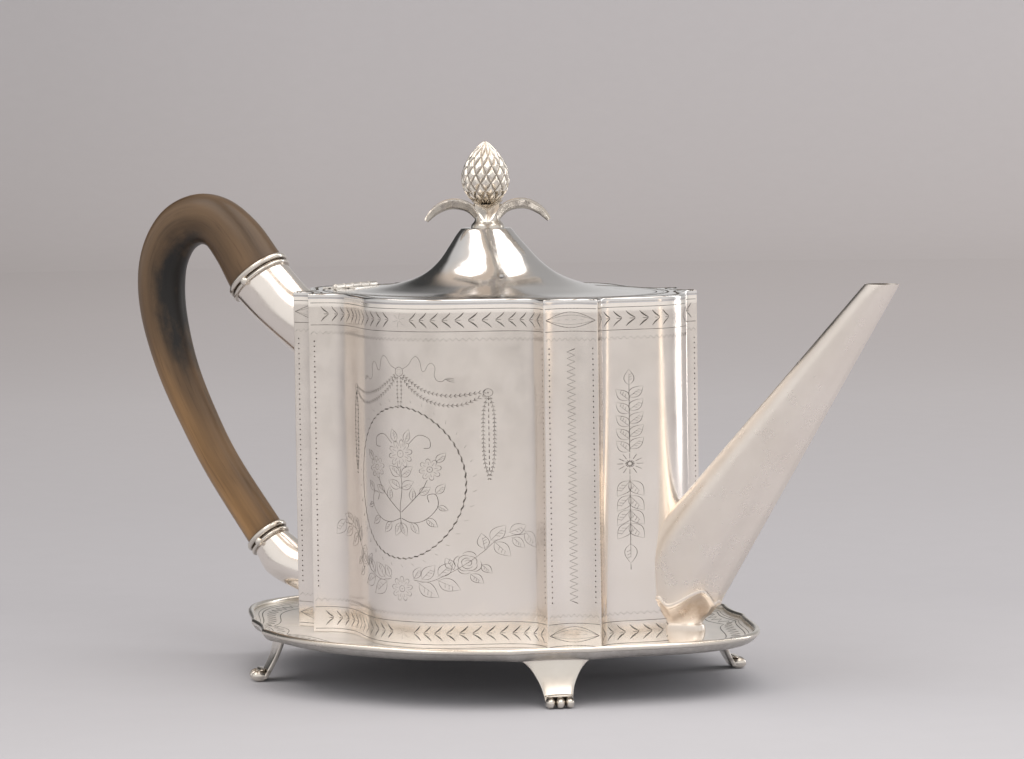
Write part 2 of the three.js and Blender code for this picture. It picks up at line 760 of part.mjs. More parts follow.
// The pineapple: an egg with two crossing families of grooves, and a stem down through the dome.
function finialPineapple() {
  const bottom = 156.6;
  const height = FINIAL_TOP - bottom;
  const profile = [];
  const steps = 14;
  for (let i = 0; i <= steps; i++) {
    const s = i / steps;
    const r = 8.3 * Math.pow(Math.sin(Math.PI * Math.pow(s, 0.82)), 0.62);
    profile.push(new THREE.Vector2(i === 0 || i === steps ? 0 : Math.max(r, 0.6), bottom + height * s));
  }
  const egg = new THREE.LatheGeometry(profile, 24);
  egg.rotateX(Math.PI / 2);
  const stem = new THREE.CylinderGeometry(1.1, 1.1, 18, 12);
  stem.rotateX(Math.PI / 2);
  stem.translate(0, 0, 152.2);
  return joined([egg, stem]);
}
function ringNut(radius, bore, from, to, sides) {
  const outer = new THREE.CylinderGeometry(radius, radius, to - from, sides);
  outer.rotateX(Math.PI / 2);
  outer.translate(0, 0, (from + to) / 2);
  const hole = new THREE.CylinderGeometry(bore, bore, 20, 12);
  hole.rotateX(Math.PI / 2);
  hole.translate(0, 0, (from + to) / 2);
  return cut(outer, [hole]);
}
function lid() {
  const group = new THREE.Group();
  const washerTop = DOME_TOP - SHEET - GAP;
  group.add(piece("lid_shell", lidShell(), silver()));
  group.add(piece("lid_flange", lidFlange(), silver()));
  group.add(piece("hinge_leaf_lid", hingeLeaf(false), silver()));
  group.add(piece("finial_calyx", finialCalyx(), silver(0xd8d0c2, 0.25)));
  group.add(piece("finial_pineapple", finialPineapple(), silver(0xd8d0c2, 0.25)));
  group.add(
    piece("finial_washer", ringNut(5.2, 1.4, washerTop - 0.8, washerTop, 24), silver()),
  );
  group.add(
    piece("finial_nut", ringNut(3.4, 1.4, washerTop - 3.6, washerTop - 0.8 - GAP, 6), silver()),
  );
  return group;
}

const group = new THREE.Group();
group.add(stand());
group.add(pot());
group.add(lid());

export default group;
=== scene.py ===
"""Looks of the silver teapot on its stand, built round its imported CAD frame.

Lengths are in millimetres in the row frame, and are scaled to metres as each mesh is made.
"""
import math

import bmesh
import bpy
import numpy as np
from mathutils import Matrix


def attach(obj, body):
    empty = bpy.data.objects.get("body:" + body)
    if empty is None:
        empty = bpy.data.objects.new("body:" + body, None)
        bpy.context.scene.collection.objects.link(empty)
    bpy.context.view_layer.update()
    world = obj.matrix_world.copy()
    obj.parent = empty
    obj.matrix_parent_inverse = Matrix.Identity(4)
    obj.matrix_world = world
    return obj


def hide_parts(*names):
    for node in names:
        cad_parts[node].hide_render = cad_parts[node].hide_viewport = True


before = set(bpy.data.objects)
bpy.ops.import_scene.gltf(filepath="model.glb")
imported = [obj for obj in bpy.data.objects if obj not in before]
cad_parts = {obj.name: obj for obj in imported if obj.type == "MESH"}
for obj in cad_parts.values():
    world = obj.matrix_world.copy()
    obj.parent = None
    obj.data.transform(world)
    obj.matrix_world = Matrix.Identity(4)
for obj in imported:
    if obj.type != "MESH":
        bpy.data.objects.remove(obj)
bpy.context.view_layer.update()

MM = 0.001
TAU = 2 * math.pi

# ---------- the CAD's driving dimensions ----------
POT = {
    "side": (47.5, 39.4),
    "end": (61.5, 29.5),
    "side_bow": (53.8, 35.4, 0.82, 1.25),
    "end_bow": (72.4, 60.0, 0.84, 1.25),
    "pilaster": 4.6,
}
STAND = {
    "side": (49.5, 64.5),
    "end": (68.2, 46.4),
    "side_bow": (78.6, 58.72, 1.35, 1.5),
    "end_bow": (97.0, 61.78, 1.35, 1.1),
    "pilaster": 0.9,
}
FOOT_PLACE = (60.5, 52.05)
FOOT_FACING = math.radians(46)
POT_BOTTOM = 15.6
WALL_TOP = 127.27
DECK_BOTTOM = 127.3
DECK_TOP = 128.3
DOME_TOP = 149.2
FINIAL_TOP = 177.9
SHEET = 0.7
LID_CUT = -55.8
HINGE_X = -57.6
HINGE_Z = 128.9
HINGE_HALF = 11.5


# ---------- mesh helpers ----------
def add_object(name, mesh, material, body, nodes=(), sharp=32):
    """Puts a finished mesh in the scene as a piece that rides on a body."""
    mesh.materials.append(material)
    mesh.polygons.foreach_set("use_smooth", [True] * len(mesh.polygons))
    mesh.set_sharp_from_angle(angle=math.radians(sharp))
    piece = bpy.data.objects.new(name, mesh)
    bpy.context.scene.collection.objects.link(piece)
    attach(piece, body)
    if nodes:
        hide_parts(*nodes)
    return piece


def mesh_of(name, verts, faces, patina_and_shade=None, flow=None, outward=True):
    """A mesh from millimetre points. The patina and painted shade amount is 0 to 1 a point, and flow a grain
    coordinate a point.
    """
    mesh = bpy.data.meshes.new(name)
    mesh.from_pydata((np.asarray(verts, float) * MM).tolist(), [], faces)
    if patina_and_shade is not None:
        layer = mesh.attributes.new("patina_and_shade", "FLOAT", "POINT")
        layer.data.foreach_set("value", np.asarray(patina_and_shade, np.float32))
    if flow is not None:
        layer = mesh.attributes.new("flow", "FLOAT_VECTOR", "POINT")
        layer.data.foreach_set("vector", np.asarray(flow, np.float32).ravel())
    if outward:
        work = bmesh.new()
        work.from_mesh(mesh)
        bmesh.ops.recalc_face_normals(work, faces=work.faces)
        work.to_mesh(mesh)
        work.free()
    mesh.update()
    return mesh


def skin(rings, ends="cap"):
    """Points and faces over closed rings. ends is cap, loop (last ring back to the first) or open."""
    rings = np.asarray(rings, float)
    rows, cols = rings.shape[:2]
    verts = rings.reshape(-1, 3).tolist()
    faces = []
    last = rows if ends == "loop" else rows - 1
    for i in range(last):
        a, b = i * cols, ((i + 1) % rows) * cols
        for j in range(cols):
            k = (j + 1) % cols
            faces.append((a + j, a + k, b + k, b + j))
    if ends == "cap":
        for row in (0, rows - 1):
            middle = rings[row].mean(0)
            verts.append(middle.tolist())
            centre = len(verts) - 1
            for j in range(cols):
                k = (j + 1) % cols
                faces.append((row * cols + j, row * cols + k, centre))
    return verts, faces


def together(parts):
    """Several (points, faces) as one."""
    verts, faces = [], []
    for more_verts, more_faces in parts:
        base = len(verts)
        verts.extend(list(map(tuple, np.asarray(more_verts).tolist())))
        faces.extend(tuple(base + i for i in face) for face in more_faces)
    return verts, faces


def through(points, count):
    """A smooth curve through points of any dimension, as count evenly parted values."""
    points = np.asarray(points, float)
    padded = np.concatenate([[2 * points[0] - points[1]], points, [2 * points[-1] - points[-2]]])
    t = np.linspace(0, len(points) - 1, count)
    i = np.minimum(t.astype(int), len(points) - 2)
    f = (t - i).reshape((-1,) + (1,) * (points.ndim - 1))
    p0, p1, p2, p3 = (padded[i + k] for k in range(4))
    return 0.5 * (
        2 * p1 + (p2 - p0) * f + (2 * p0 - 5 * p1 + 4 * p2 - p3) * f**2 + (3 * p1 - p0 - 3 * p2 + p3) * f**3
    )


def even(points, count):
    """The same line with its points evenly parted along its length."""
    points = np.asarray(points, float)
    step = np.linalg.norm(np.diff(points, axis=0), axis=1)
    along = np.concatenate([[0], np.cumsum(step)])
    want = np.linspace(0, along[-1], count)
    return np.stack([np.interp(want, along, points[:, k]) for k in range(points.shape[1])], 1)


def lathe(profile, steps=96, centre=(0.0, 0.0)):
    """Rings of a profile of (radius, height) turned about an upright axis."""
    angle = np.arange(steps) * TAU / steps
    return np.array(
        [
            np.stack([centre[0] + r * np.cos(angle), centre[1] + r * np.sin(angle), 0 * angle + z], 1)
            for r, z in profile
        ]
    )


def boolean(mesh, cutter, operation):
    """One mesh cut from or joined to another, as a new mesh."""
    a = bpy.data.objects.new("work_a", mesh)
    b = bpy.data.objects.new("work_b", cutter)
    for work in (a, b):
        bpy.context.scene.collection.objects.link(work)
    modifier = a.modifiers.new("work", "BOOLEAN")
    modifier.operation = operation
    modifier.solver = "EXACT"
    modifier.object = b
    bpy.context.view_layer.update()
    made = bpy.data.meshes.new_from_object(a.evaluated_get(bpy.context.evaluated_depsgraph_get()))
    for work in (a, b):
        bpy.data.objects.remove(work)
    made.name = mesh.name
    return made


# ---------- the serpentine plan ----------
def bow(t, crown, hollow, at, fullness, arris):
    u = np.abs(t)
    fall = np.clip(u / at, 0, 1) ** fullness
    bulge = hollow + (crown - hollow) * (1 + np.cos(np.pi * fall)) / 2
    rise = np.clip((u - at) / (1 - at), 0, 1)
    lift = hollow + (arris - hollow) * (1 - np.cos(np.pi / 2 * rise))
    return np.where(u < at, bulge, lift)


def side_y(plan, x):
    return bow(np.asarray(x) / plan["side"][0], *plan["side_bow"], plan["side"][1])


def end_x(plan, y):
    return bow(np.asarray(y) / plan["end"][1], *plan["end_bow"], plan["end"][0])


def eased(before, corner, after, count=3):
    """Points that round a corner off between two points."""
    t = (np.arange(count) + 1) / (count + 1)
    t = t[:, None]
    return before * (1 - t) ** 2 + 2 * corner * t * (1 - t) + after * t**2


def quarter(plan):
    """The outline from the spout end's crown to the back side's crown, arrises slightly rounded."""
    ease = 0.4
    end = np.array(plan["end"])
    side = np.array(plan["side"])
    y = end[1] * np.linspace(0, 1 - ease / end[1], 37)
    first = np.stack([end_x(plan, y), y], 1)
    chord = side - end
    length = np.hypot(*chord)
    inward = np.array([-chord[1], chord[0]]) / length
    t = np.linspace(ease / length, 1 - ease / length, 15)[:, None]
    pilaster = end + chord * t + inward * plan["pilaster"] * np.sin(np.pi * t)
    x = side[0] * np.linspace(1 - ease / side[0], 0, 49)
    last = np.stack([x, side_y(plan, x)], 1)
    return np.vstack(
        [first, eased(first[-1], end, pilaster[0]), pilaster, eased(pilaster[-1], side, last[0]), last]
    )


def outline(plan):
    """The whole outline, counter-clockwise from the spout end's crown."""
    q = quarter(plan)
    back = q[:-1][::-1] * [-1, 1]
    half = np.vstack([q, back])
    front = half[1:-1][::-1] * [1, -1]
    return np.vstack([half, front])


def normals(points):
    """Outward normals of a closed counter-clockwise outline."""
    along = np.roll(points, -1, 0) - np.roll(points, 1, 0)
    out = np.stack([along[:, 1], -along[:, 0]], 1)
    return out / np.linalg.norm(out, axis=1)[:, None]


def grown(points, distance):
    """The outline moved out by one distance, or by one for each point."""
    return points + normals(points) * np.reshape(distance, (-1, 1))


POT_LINE = outline(POT)
STAND_LINE = outline(STAND)


def between(share):
    return POT_LINE * (1 - share) + STAND_LINE * share


def at_height(points, z):
    return np.column_stack([points, np.full(len(points), float(z))])


def ripple(x, y, z):
    """How far hand-raised sheet strays from its true face: long, shallow and never regular."""
    return (
        0.045 * np.sin(x * 0.13 + z * 0.031 + 1.3)
        + 0.040 * np.sin(x * 0.071 - y * 0.09 + z * 0.055 + 0.4)
        + 0.030 * np.sin(x * 0.21 + y * 0.17 - z * 0.083 + 2.2)
        + 0.018 * np.sin(x * 0.37 - y * 0.29 + z * 0.19 + 4.0)
    )


# ---------- materials ----------
def new_material(name):
    material = bpy.data.materials.new(name)
    material.use_nodes = True
    tree = material.node_tree
    return material, tree, tree.nodes["Principled BSDF"]


def link(tree, a, b):
    tree.links.new(a, b)


def noise(tree, scale, detail=4.0, rough=0.55, coord=None, stretch=None):
    node = tree.nodes.new("ShaderNodeTexNoise")
    node.inputs["Scale"].default_value = scale
    node.inputs["Detail"].default_value = detail
    node.inputs["Roughness"].default_value = rough
    source = coord
    if source is None:
        source = tree.nodes.new("ShaderNodeTexCoord").outputs["Object"]
    if stretch is not None:
        mapping = tree.nodes.new("ShaderNodeMapping")
        mapping.inputs["Scale"].default_value = stretch
        link(tree, source, mapping.inputs["Vector"])
        source = mapping.outputs["Vector"]
    link(tree, source, node.inputs["Vector"])
    return node


def ramp(tree, value, stops):
    node = tree.nodes.new("ShaderNodeValToRGB")
    while len(node.color_ramp.elements) < len(stops):
        node.color_ramp.elements.new(0.5)
    for element, (at, colour) in zip(node.color_ramp.elements, stops):
        element.position = at
        element.color = (*colour, 1.0)
    link(tree, value, node.inputs["Fac"])
    return node


def spread(tree, value, low, high, to_low, to_high):
    node = tree.nodes.new("ShaderNodeMapRange")
    node.inputs["From Min"].default_value = low
    node.inputs["From Max"].default_value = high
    node.inputs["To Min"].default_value = to_low
    node.inputs["To Max"].default_value = to_high
    link(tree, value, node.inputs["Value"])
    return node.outputs["Result"]


def mix(tree, factor, a, b, blend="MIX"):
    node = tree.nodes.new("ShaderNodeMix")
    node.data_type = "RGBA"
    node.blend_type = blend
    if isinstance(factor, float):
        node.inputs["Factor"].default_value = factor
    else:
        link(tree, factor, node.inputs["Factor"])
    for socket, value in ((node.inputs[6], a), (node.inputs[7], b)):
        if isinstance(value, tuple):
            socket.default_value = (*value, 1.0)
        else:
            link(tree, value, socket)
    return node.outputs[2]


def silver(name, bright, dimmer, roughness, scratch=0.02, patina_and_shade=(0.16, 0.13, 0.10), metallic=1.0):
    """Polished silver: faint cloudy tone, fine scratches, and patina and painted shade where the mesh says so."""
    material, tree, shader = new_material(name)
    shader.inputs["Metallic"].default_value = metallic
    cloud = noise(tree, 38.0, 5.0, 0.6)
    tone = ramp(tree, cloud.outputs["Fac"], [(0.34, dimmer), (0.62, bright)])
    # Patina and painted shade: the mesh's per-point amount, mottled by noise, mixes the colour towards the patina and
    # painted shade colour.
    patina_and_shade_level = tree.nodes.new("ShaderNodeAttribute")
    patina_and_shade_level.attribute_name = "patina_and_shade"
    mottle = noise(tree, 420.0, 3.0, 0.6)
    amount = tree.nodes.new("ShaderNodeMath")
    amount.operation = "MULTIPLY"
    link(tree, patina_and_shade_level.outputs["Fac"], amount.inputs[0])
    link(tree, spread(tree, mottle.outputs["Fac"], 0.3, 0.7, 0.75, 1.0), amount.inputs[1])
    link(tree, mix(tree, amount.outputs["Value"], tone.outputs["Color"], patina_and_shade), shader.inputs["Base Color"])
    patch = noise(tree, 130.0, 6.0, 0.65)
    link(
        tree,
        spread(tree, patch.outputs["Fac"], 0.3, 0.7, roughness * 0.75, roughness * 1.3),
        shader.inputs["Roughness"],
    )
    fine = noise(tree, 900.0, 2.0, 0.5, stretch=(1.0, 1.0, 0.12))
    bump = tree.nodes.new("ShaderNodeBump")
    bump.inputs["Strength"].default_value = scratch
    bump.inputs["Distance"].default_value = 0.0004
    link(tree, fine.outputs["Fac"], bump.inputs["Height"])
    link(tree, bump.outputs["Normal"], shader.inputs["Normal"])
    return material


def engraved():
    """The cut lines: dark silver with old polish in them."""
    material, tree, shader = new_material("engraved_line")
    shader.inputs["Metallic"].default_value = 1.0
    shader.inputs["Roughness"].default_value = 0.42
    patch = noise(tree, 300.0, 3.0)
    tone = ramp(tree, patch.outputs["Fac"], [(0.35, (0.10, 0.09, 0.08)), (0.68, (0.30, 0.28, 0.25))])
    link(tree, tone.outputs["Color"], shader.inputs["Base Color"])
    return material


def stained_wood():
    """Dark stained hardwood, its grain running along the handle, waxed and rubbed paler outside."""
    material, tree, shader = new_material("handle_wood")
    flow = tree.nodes.new("ShaderNodeAttribute")
    flow.attribute_name = "flow"
    grain = noise(tree, 1.0, 6.0, 0.62, coord=flow.outputs["Vector"], stretch=(9.0, 150.0, 150.0))
    pore = noise(tree, 1.0, 3.0, 0.7, coord=flow.outputs["Vector"], stretch=(40.0, 900.0, 900.0))
    cloud = noise(tree, 1.0, 3.0, 0.5, coord=flow.outputs["Vector"], stretch=(16.0, 30.0, 30.0))
    brown = ramp(
        tree,
        grain.outputs["Fac"],
        [(0.25, (0.082, 0.050, 0.025)), (0.5, (0.150, 0.094, 0.048)), (0.78, (0.225, 0.145, 0.078))],
    )
    grey = ramp(tree, cloud.outputs["Fac"], [(0.32, (0.62, 0.60, 0.60)), (0.66, (1.05, 1.0, 0.95))])
    toned = mix(tree, 1.0, brown.outputs["Color"], grey.outputs["Color"], "MULTIPLY")
    # Painted shade and wear from the per-point amount: above 0 the wood is darkened towards near black, with a ragged
    # edge, inside the bend and by the collars; below 0 it is rubbed paler.
    patina_and_shade_level = tree.nodes.new("ShaderNodeAttribute")
    patina_and_shade_level.attribute_name = "patina_and_shade"
    paler = mix(tree, 1.0, toned, (3.1, 2.9, 2.3), "MULTIPLY")
    toned = mix(tree, spread(tree, patina_and_shade_level.outputs["Fac"], 0.0, -1.0, 0.0, 1.0), toned, paler)
    ragged_edge = noise(tree, 1.0, 5.0, 0.65, coord=flow.outputs["Vector"], stretch=(70.0, 160.0, 160.0))
    edge = tree.nodes.new("ShaderNodeMath")
    edge.operation = "MULTIPLY_ADD"
    link(tree, spread(tree, ragged_edge.outputs["Fac"], 0.3, 0.7, -0.35, 0.35), edge.inputs[0])
    link(tree, spread(tree, patina_and_shade_level.outputs["Fac"], 0.05, 0.4, 0.0, 1.0), edge.inputs[1])
    link(tree, patina_and_shade_level.outputs["Fac"], edge.inputs[2])
    dark = spread(tree, edge.outputs["Value"], 0.0, 0.95, 0.0, 0.97)
    shaded = mix(tree, dark, toned, (0.008, 0.008, 0.008))
    dark = ramp(tree, pore.outputs["Fac"], [(0.34, (0.55, 0.52, 0.50)), (0.46, (1.0, 1.0, 1.0))])
    link(tree, mix(tree, 0.55, shaded, dark.outputs["Color"], "MULTIPLY"), shader.inputs["Base Color"])
    link(tree, spread(tree, cloud.outputs["Fac"], 0.3, 0.7, 0.30, 0.48), shader.inputs["Roughness"])
    shader.inputs["Specular IOR Level"].default_value = 0.35
    shader.inputs["Coat Weight"].default_value = 0.12
    shader.inputs["Coat Roughness"].default_value = 0.35
    bump = tree.nodes.new("ShaderNodeBump")
    bump.inputs["Strength"].default_value = 0.25
    bump.inputs["Distance"].default_value = 0.0002
    link(tree, pore.outputs["Fac"], bump.inputs["Height"])
    link(tree, bump.outputs["Normal"], shader.inputs["Normal"])
    return material


SHEET_SILVER = silver("sheet_silver", (0.95, 0.89, 0.83), (0.90, 0.84, 0.775), 0.19)
DECK_SILVER = silver("deck_silver", (0.80, 0.785, 0.77), (0.75, 0.73, 0.71), 0.13, 0.03)
SATIN_SILVER = silver("satin_silver", (0.90, 0.835, 0.77), (0.85, 0.78, 0.71), 0.30, 0.03)
# The heel's brown patina colour is mostly the painted shade of the hollow under the spout.
HEEL_SILVER = silver("heel_silver", (0.93, 0.86, 0.78), (0.85, 0.76, 0.67), 0.32, 0.04, patina_and_shade=(0.30, 0.22, 0.155))
TRAY_SILVER = silver("tray_silver", (0.95, 0.93, 0.90), (0.86, 0.84, 0.81), 0.40, 0.06, metallic=0.9)
CAST_SILVER = silver("cast_silver", (0.80, 0.755, 0.69), (0.73, 0.68, 0.61), 0.22, 0.03)
INNER_SILVER = silver("inner_silver", (0.80, 0.77, 0.72), (0.62, 0.59, 0.55), 0.36, 0.05)
ENGRAVED = engraved()
WOOD = stained_wood()

# ---------- pot: wall, deck ----------
def wall_rings():
    """Outer and inner face of the bent wall, with slightly eased top and bottom edges."""
    heights = np.linspace(POT_BOTTOM + 0.15, WALL_TOP - 0.1, 34)
    rings = [at_height(grown(POT_LINE, -0.15), POT_BOTTOM)]
    for z in heights:
        stray = ripple(POT_LINE[:, 0], POT_LINE[:, 1], z) * np.sin(
            np.pi * (z - POT_BOTTOM) / (WALL_TOP - POT_BOTTOM)
        )
        rings.append(at_height(grown(POT_LINE, stray), z))
    rings.append(at_height(grown(POT_LINE, -0.06), WALL_TOP))
    inner = grown(POT_LINE, -SHEET)
    rings += [at_height(inner, z) for z in np.linspace(WALL_TOP, POT_BOTTOM, 12)]
    return rings


def strainer_mesh():
    parts = []
    for row in range(6):
        count = 3 - row % 2
        for i in range(count):
            y = (i - (count - 1) / 2) * 4.6
            z = 34 + row * 4.6
            angle = np.arange(20) * TAU / 20
            ring = [
                np.stack([np.full(20, x), y + 1.5 * np.cos(angle), z + 1.5 * np.sin(angle)], 1)
                for x in (64.0, 80.0)
            ]
            parts.append(skin(ring))
    return mesh_of("strainer", *together(parts))


wall = boolean(mesh_of("body_sides", *skin(wall_rings(), "loop")), strainer_mesh(), "DIFFERENCE")
add_object("body_sides", wall, SHEET_SILVER, "teapot", ["body_wall"])


def oval_at(half, angles):
    return np.stack([half[0] * np.cos(angles), half[1] * np.sin(angles)], 1)


def deck_rings():
    """The deck plate: a rounded outer edge, the flat top, and the oval opening's edge."""
    hole = (60.0, 38.0)
    angles = np.arctan2(POT_LINE[:, 1] / hole[1], POT_LINE[:, 0] / hole[0])
    opening = oval_at(hole, angles)
    inner = np.maximum(opening, [LID_CUT - 0.35, -99])
    edge = [(-0.4, WALL_TOP - 0.9), (-0.02, WALL_TOP - 0.8), (0.03, WALL_TOP - 0.5), (0.03, DECK_TOP - 0.5)]
    edge += [(-0.05, DECK_TOP - 0.22), (-0.2, DECK_TOP - 0.06), (-0.45, DECK_TOP)]
    rings = [at_height(grown(POT_LINE, out), z) for out, z in edge]
    base = grown(POT_LINE, -0.45)
    for share in (0.15, 0.4, 0.7, 0.93):
        rings.append(at_height(base * (1 - share) + inner * share, DECK_TOP))
    rings += [at_height(inner, DECK_TOP - 0.02), at_height(inner, DECK_BOTTOM)]
    return rings


add_object("deck_plate", mesh_of("deck_plate", *skin(deck_rings(), "loop")), DECK_SILVER, "teapot", ["deck"])

# ---------- spout ----------
ROOT = {"bottom": 31.0, "widest": 41.0, "top": 60.5, "half": 10.0, "reach": 87.6}
MOUTH = {"x": 148.8, "z": 133.3, "half": (5.8, 4.6)}
CORNER = math.cos(math.radians(75))


# The edge of the spout's open underside, from its two lower corners (0) out to its tip (1).
LIP = through(
    [
        (0.0, 31.0), (0.06, 31.3), (0.18, 28.9), (0.38, 30.2), (0.6, 32.6), (0.8, 34.0), (0.9, 32.4),
        (0.97, 29.8), (1.0, 30.4),
    ],
    90,
)


def lip_height(out):
    return np.interp(out, LIP[:, 0], LIP[:, 1])


def spout_root(angle, shrink, off):
    """Up the end panel from two lower corners, and level but gently waved round the open underside."""
    across = (ROOT["half"] - shrink) * np.sin(angle)
    c = np.cos(angle)
    lie = end_x(POT, across) + off
    out = np.clip((c - CORNER) / (1 - CORNER), 0, 1)
    x = lie + (ROOT["reach"] - shrink - lie) * out**0.9
    low = ROOT["widest"] - (ROOT["widest"] - lip_height(out)) * np.clip(c / CORNER, 0, 1)
    high = ROOT["widest"] - (ROOT["top"] - shrink * 1.4 - ROOT["widest"]) * c
    return np.stack([x, across, np.where(c > 0, low, high)], 1)


def spout_ring(share, shrink, off, steps=112):
    angle = np.arange(steps) * TAU / steps
    half = [h - min(shrink, 0.7) for h in MOUTH["half"]]
    mouth = np.stack(
        [MOUTH["x"] + half[0] * np.cos(angle), half[1] * np.sin(angle), np.full(steps, MOUTH["z"])], 1
    )
    return spout_root(angle, shrink, off) * (1 - share) + mouth * share


shares = np.linspace(0, 1, 26) ** 1.2
outer = [spout_ring(s, 0, -0.2) for s in shares[:-1]]
lip = [spout_ring(0.995, 0, -0.2), spout_ring(1.0, 0.15, -0.2) + [0, 0, 0.12], spout_ring(1.0, 0.5, -0.2) + [0, 0, 0.05]]
bore = [spout_ring(s, 1.0, -0.2) for s in shares[::-1][1:]]
add_object("spout_tube", mesh_of("spout_tube", *skin(outer + lip + bore, "loop")), SATIN_SILVER, "teapot", ["spout"])


def return_rings():
    """The piece under the spout: a rolled edge that follows the lip, a deep hollow and a rounded foot pad."""
    angle = np.radians(np.linspace(-75, 75, 91))
    out = np.clip((np.cos(angle) - CORNER) / (1 - CORNER), 0, 1)
    lip = lip_height(out)
    levels = [
        (lip + rise, reach, half)
        for rise, reach, half in (
            (1.2, 86.0, 9.3), (0.5, 86.9, 9.9), (0.0, 87.4, 10.3), (-0.6, 87.5, 10.4), (-1.1, 87.3, 10.2),
            (-1.4, 86.8, 9.9), (-1.6, 86.1, 9.5),
        )
    ]
    hollow = through([(0.0, 85.9, 9.4), (0.2, 85.0, 9.0), (0.45, 83.8, 8.2), (0.75, 81.6, 6.8), (1.0, 80.4, 5.9)], 20)
    levels += [((lip - 1.7) * (1 - f) + 22.4 * f, reach, half) for f, reach, half in hollow]
    pad = through([(22.1, 80.6, 6.0), (21.6, 81.1, 6.3), (19.6, 81.4, 6.5), (17.4, 81.0, 6.2), (16.0, 80.2, 5.6)], 16)
    levels += [(np.full(len(angle), z), reach, half) for z, reach, half in pad]
    rings, dark = [], []
    # Painted shade: the hollow under the rolled edge darkens brown, most in its middle and towards its front; the pad
    # is tinted a little.
    hollow_shade = np.sin(np.pi * np.linspace(0.12, 1, len(hollow))) ** 0.6
    shade = [0.0] * (len(levels) - len(hollow) - len(pad)) + (0.9 * hollow_shade).tolist() + [0.12] * len(pad)
    for (z, reach, half), patina_and_shade_level in zip(levels, shade):
        across = half * np.sin(angle)
        lie = end_x(POT, across) - 0.3
        front = np.stack([lie + (reach - lie) * out**0.9, across, z], 1)
        y = across[-1] * np.linspace(1, -1, 15)[1:-1]
        back = np.stack([end_x(POT, y) - 0.3, y, np.full(13, z[0])], 1)
        rings.append(np.vstack([front, back]))
        dark.append(np.concatenate([patina_and_shade_level * (0.35 + 0.65 * np.clip(out * 2.2, 0, 1)), np.zeros(13)]))
    return rings, np.append(np.array(dark).ravel(), [0.0, 0.0])


heel_rings, heel_dark = return_rings()
add_object("spout_heel", mesh_of("spout_heel", *skin(heel_rings), patina_and_shade=heel_dark), HEEL_SILVER, "teapot", ["spout_return"])

# ---------- handle ----------
HANDLE = [
    (-100.5, 132.7, 22.4),
    (-108.0, 142.4, 20.6),
    (-116.4, 149.2, 18.4),
    (-125.8, 150.6, 17.6),
    (-135.0, 146.6, 18.0),
    (-141.1, 138.0, 18.3),
    (-143.1, 127.4, 18.3),
    (-141.6, 114.4, 17.4),
    (-136.2, 98.0, 15.8),
    (-127.8, 81.8, 14.6),
    (-116.8, 64.6, 14.0),
    (-98.7, 42.4, 14.4),
]
BREADTH = 0.76
LINE = even(through(HANDLE, 400), 181)
ALONG = np.gradient(LINE[:, :2], axis=0)
ALONG /= np.linalg.norm(ALONG, axis=1)[:, None]


def oval_ring(centre, direction, half_depth, half_breadth, steps=64):
    """A ring square to direction, which lies in the plane y = 0."""
    angle = np.arange(steps) * TAU / steps
    across = np.array([direction[1], 0, -direction[0]])
    return (
        np.array([centre[0], 0, centre[1]])
        + np.outer(half_depth * np.cos(angle), across)
        + np.outer(half_breadth * np.sin(angle), [0, 1, 0])
    )


def handle_end(index, sign):
    half = LINE[index, 2] / 2
    return {"at": LINE[index, :2], "into": ALONG[index] * sign, "half": (half, half * BREADTH)}


UPPER = handle_end(0, -1)
LOWER = handle_end(-1, 1)


def handle_mesh():
    steps = 64
    rings = []
    for (x, z, depth), way in zip(LINE, ALONG):
        rings.append(oval_ring((x, z), way, depth / 2, depth / 2 * BREADTH, steps))
    rings = [oval_ring(UPPER["at"] + UPPER["into"] * 3, ALONG[0], 8.0, 5.8, steps)] + rings
    rings.append(oval_ring(LOWER["at"] + LOWER["into"] * 3, ALONG[-1], 4.6, 3.2, steps))
    rings = np.array(rings)
    run = np.concatenate([[0], np.cumsum(np.linalg.norm(np.diff(rings.mean(1), axis=0), axis=1))])
    angle = np.arange(steps) * TAU / steps
    flow = np.zeros(rings.shape)
    flow[..., 0] = run[:, None]
    flow[..., 1] = 7.0 * np.cos(angle)[None]
    flow[..., 2] = 5.5 * np.sin(angle)[None]
    flow = np.vstack([flow.reshape(-1, 3), [[0, 0, 0], [run[-1], 0, 0]]]) * MM
    # Painted shade, darkest inside the upper bend and next to the collars (above 0); rubbed pale low down outside
    # (below 0).
    share = run / run[-1]
    inside = (np.clip(0.25 - np.cos(angle), 0, 1) ** 1.2)[None] * np.exp(-(((share - 0.38) / 0.24) ** 2))[:, None]
    near = np.exp(-share / 0.012)[:, None] + np.exp(-(1 - share) / 0.012)[:, None]
    rubbed = np.clip(0.7 + 0.5 * np.cos(angle), 0, 1)[None] * np.clip((share - 0.5) / 0.3, 0, 1)[:, None]
    dark = np.clip(1.1 * inside + 0.6 * near, 0, 1) - rubbed * (1 - np.clip(near, 0, 1))
    dark = np.concatenate([dark.ravel(), [1, 1]])
    return mesh_of("handle_wood", *skin(rings), patina_and_shade=dark, flow=flow)


add_object("handle_wood", handle_mesh(), WOOD, "teapot", ["handle"])


def bead(start, stop, base, height, count=9):
    """A half-round bead along a collar, as stations of (along, out)."""
    angle = np.linspace(np.pi, 0, count)
    middle, half = (start + stop) / 2, (stop - start) / 2
    return [(middle + half * np.cos(a), base + height * np.sin(a)) for a in angle]


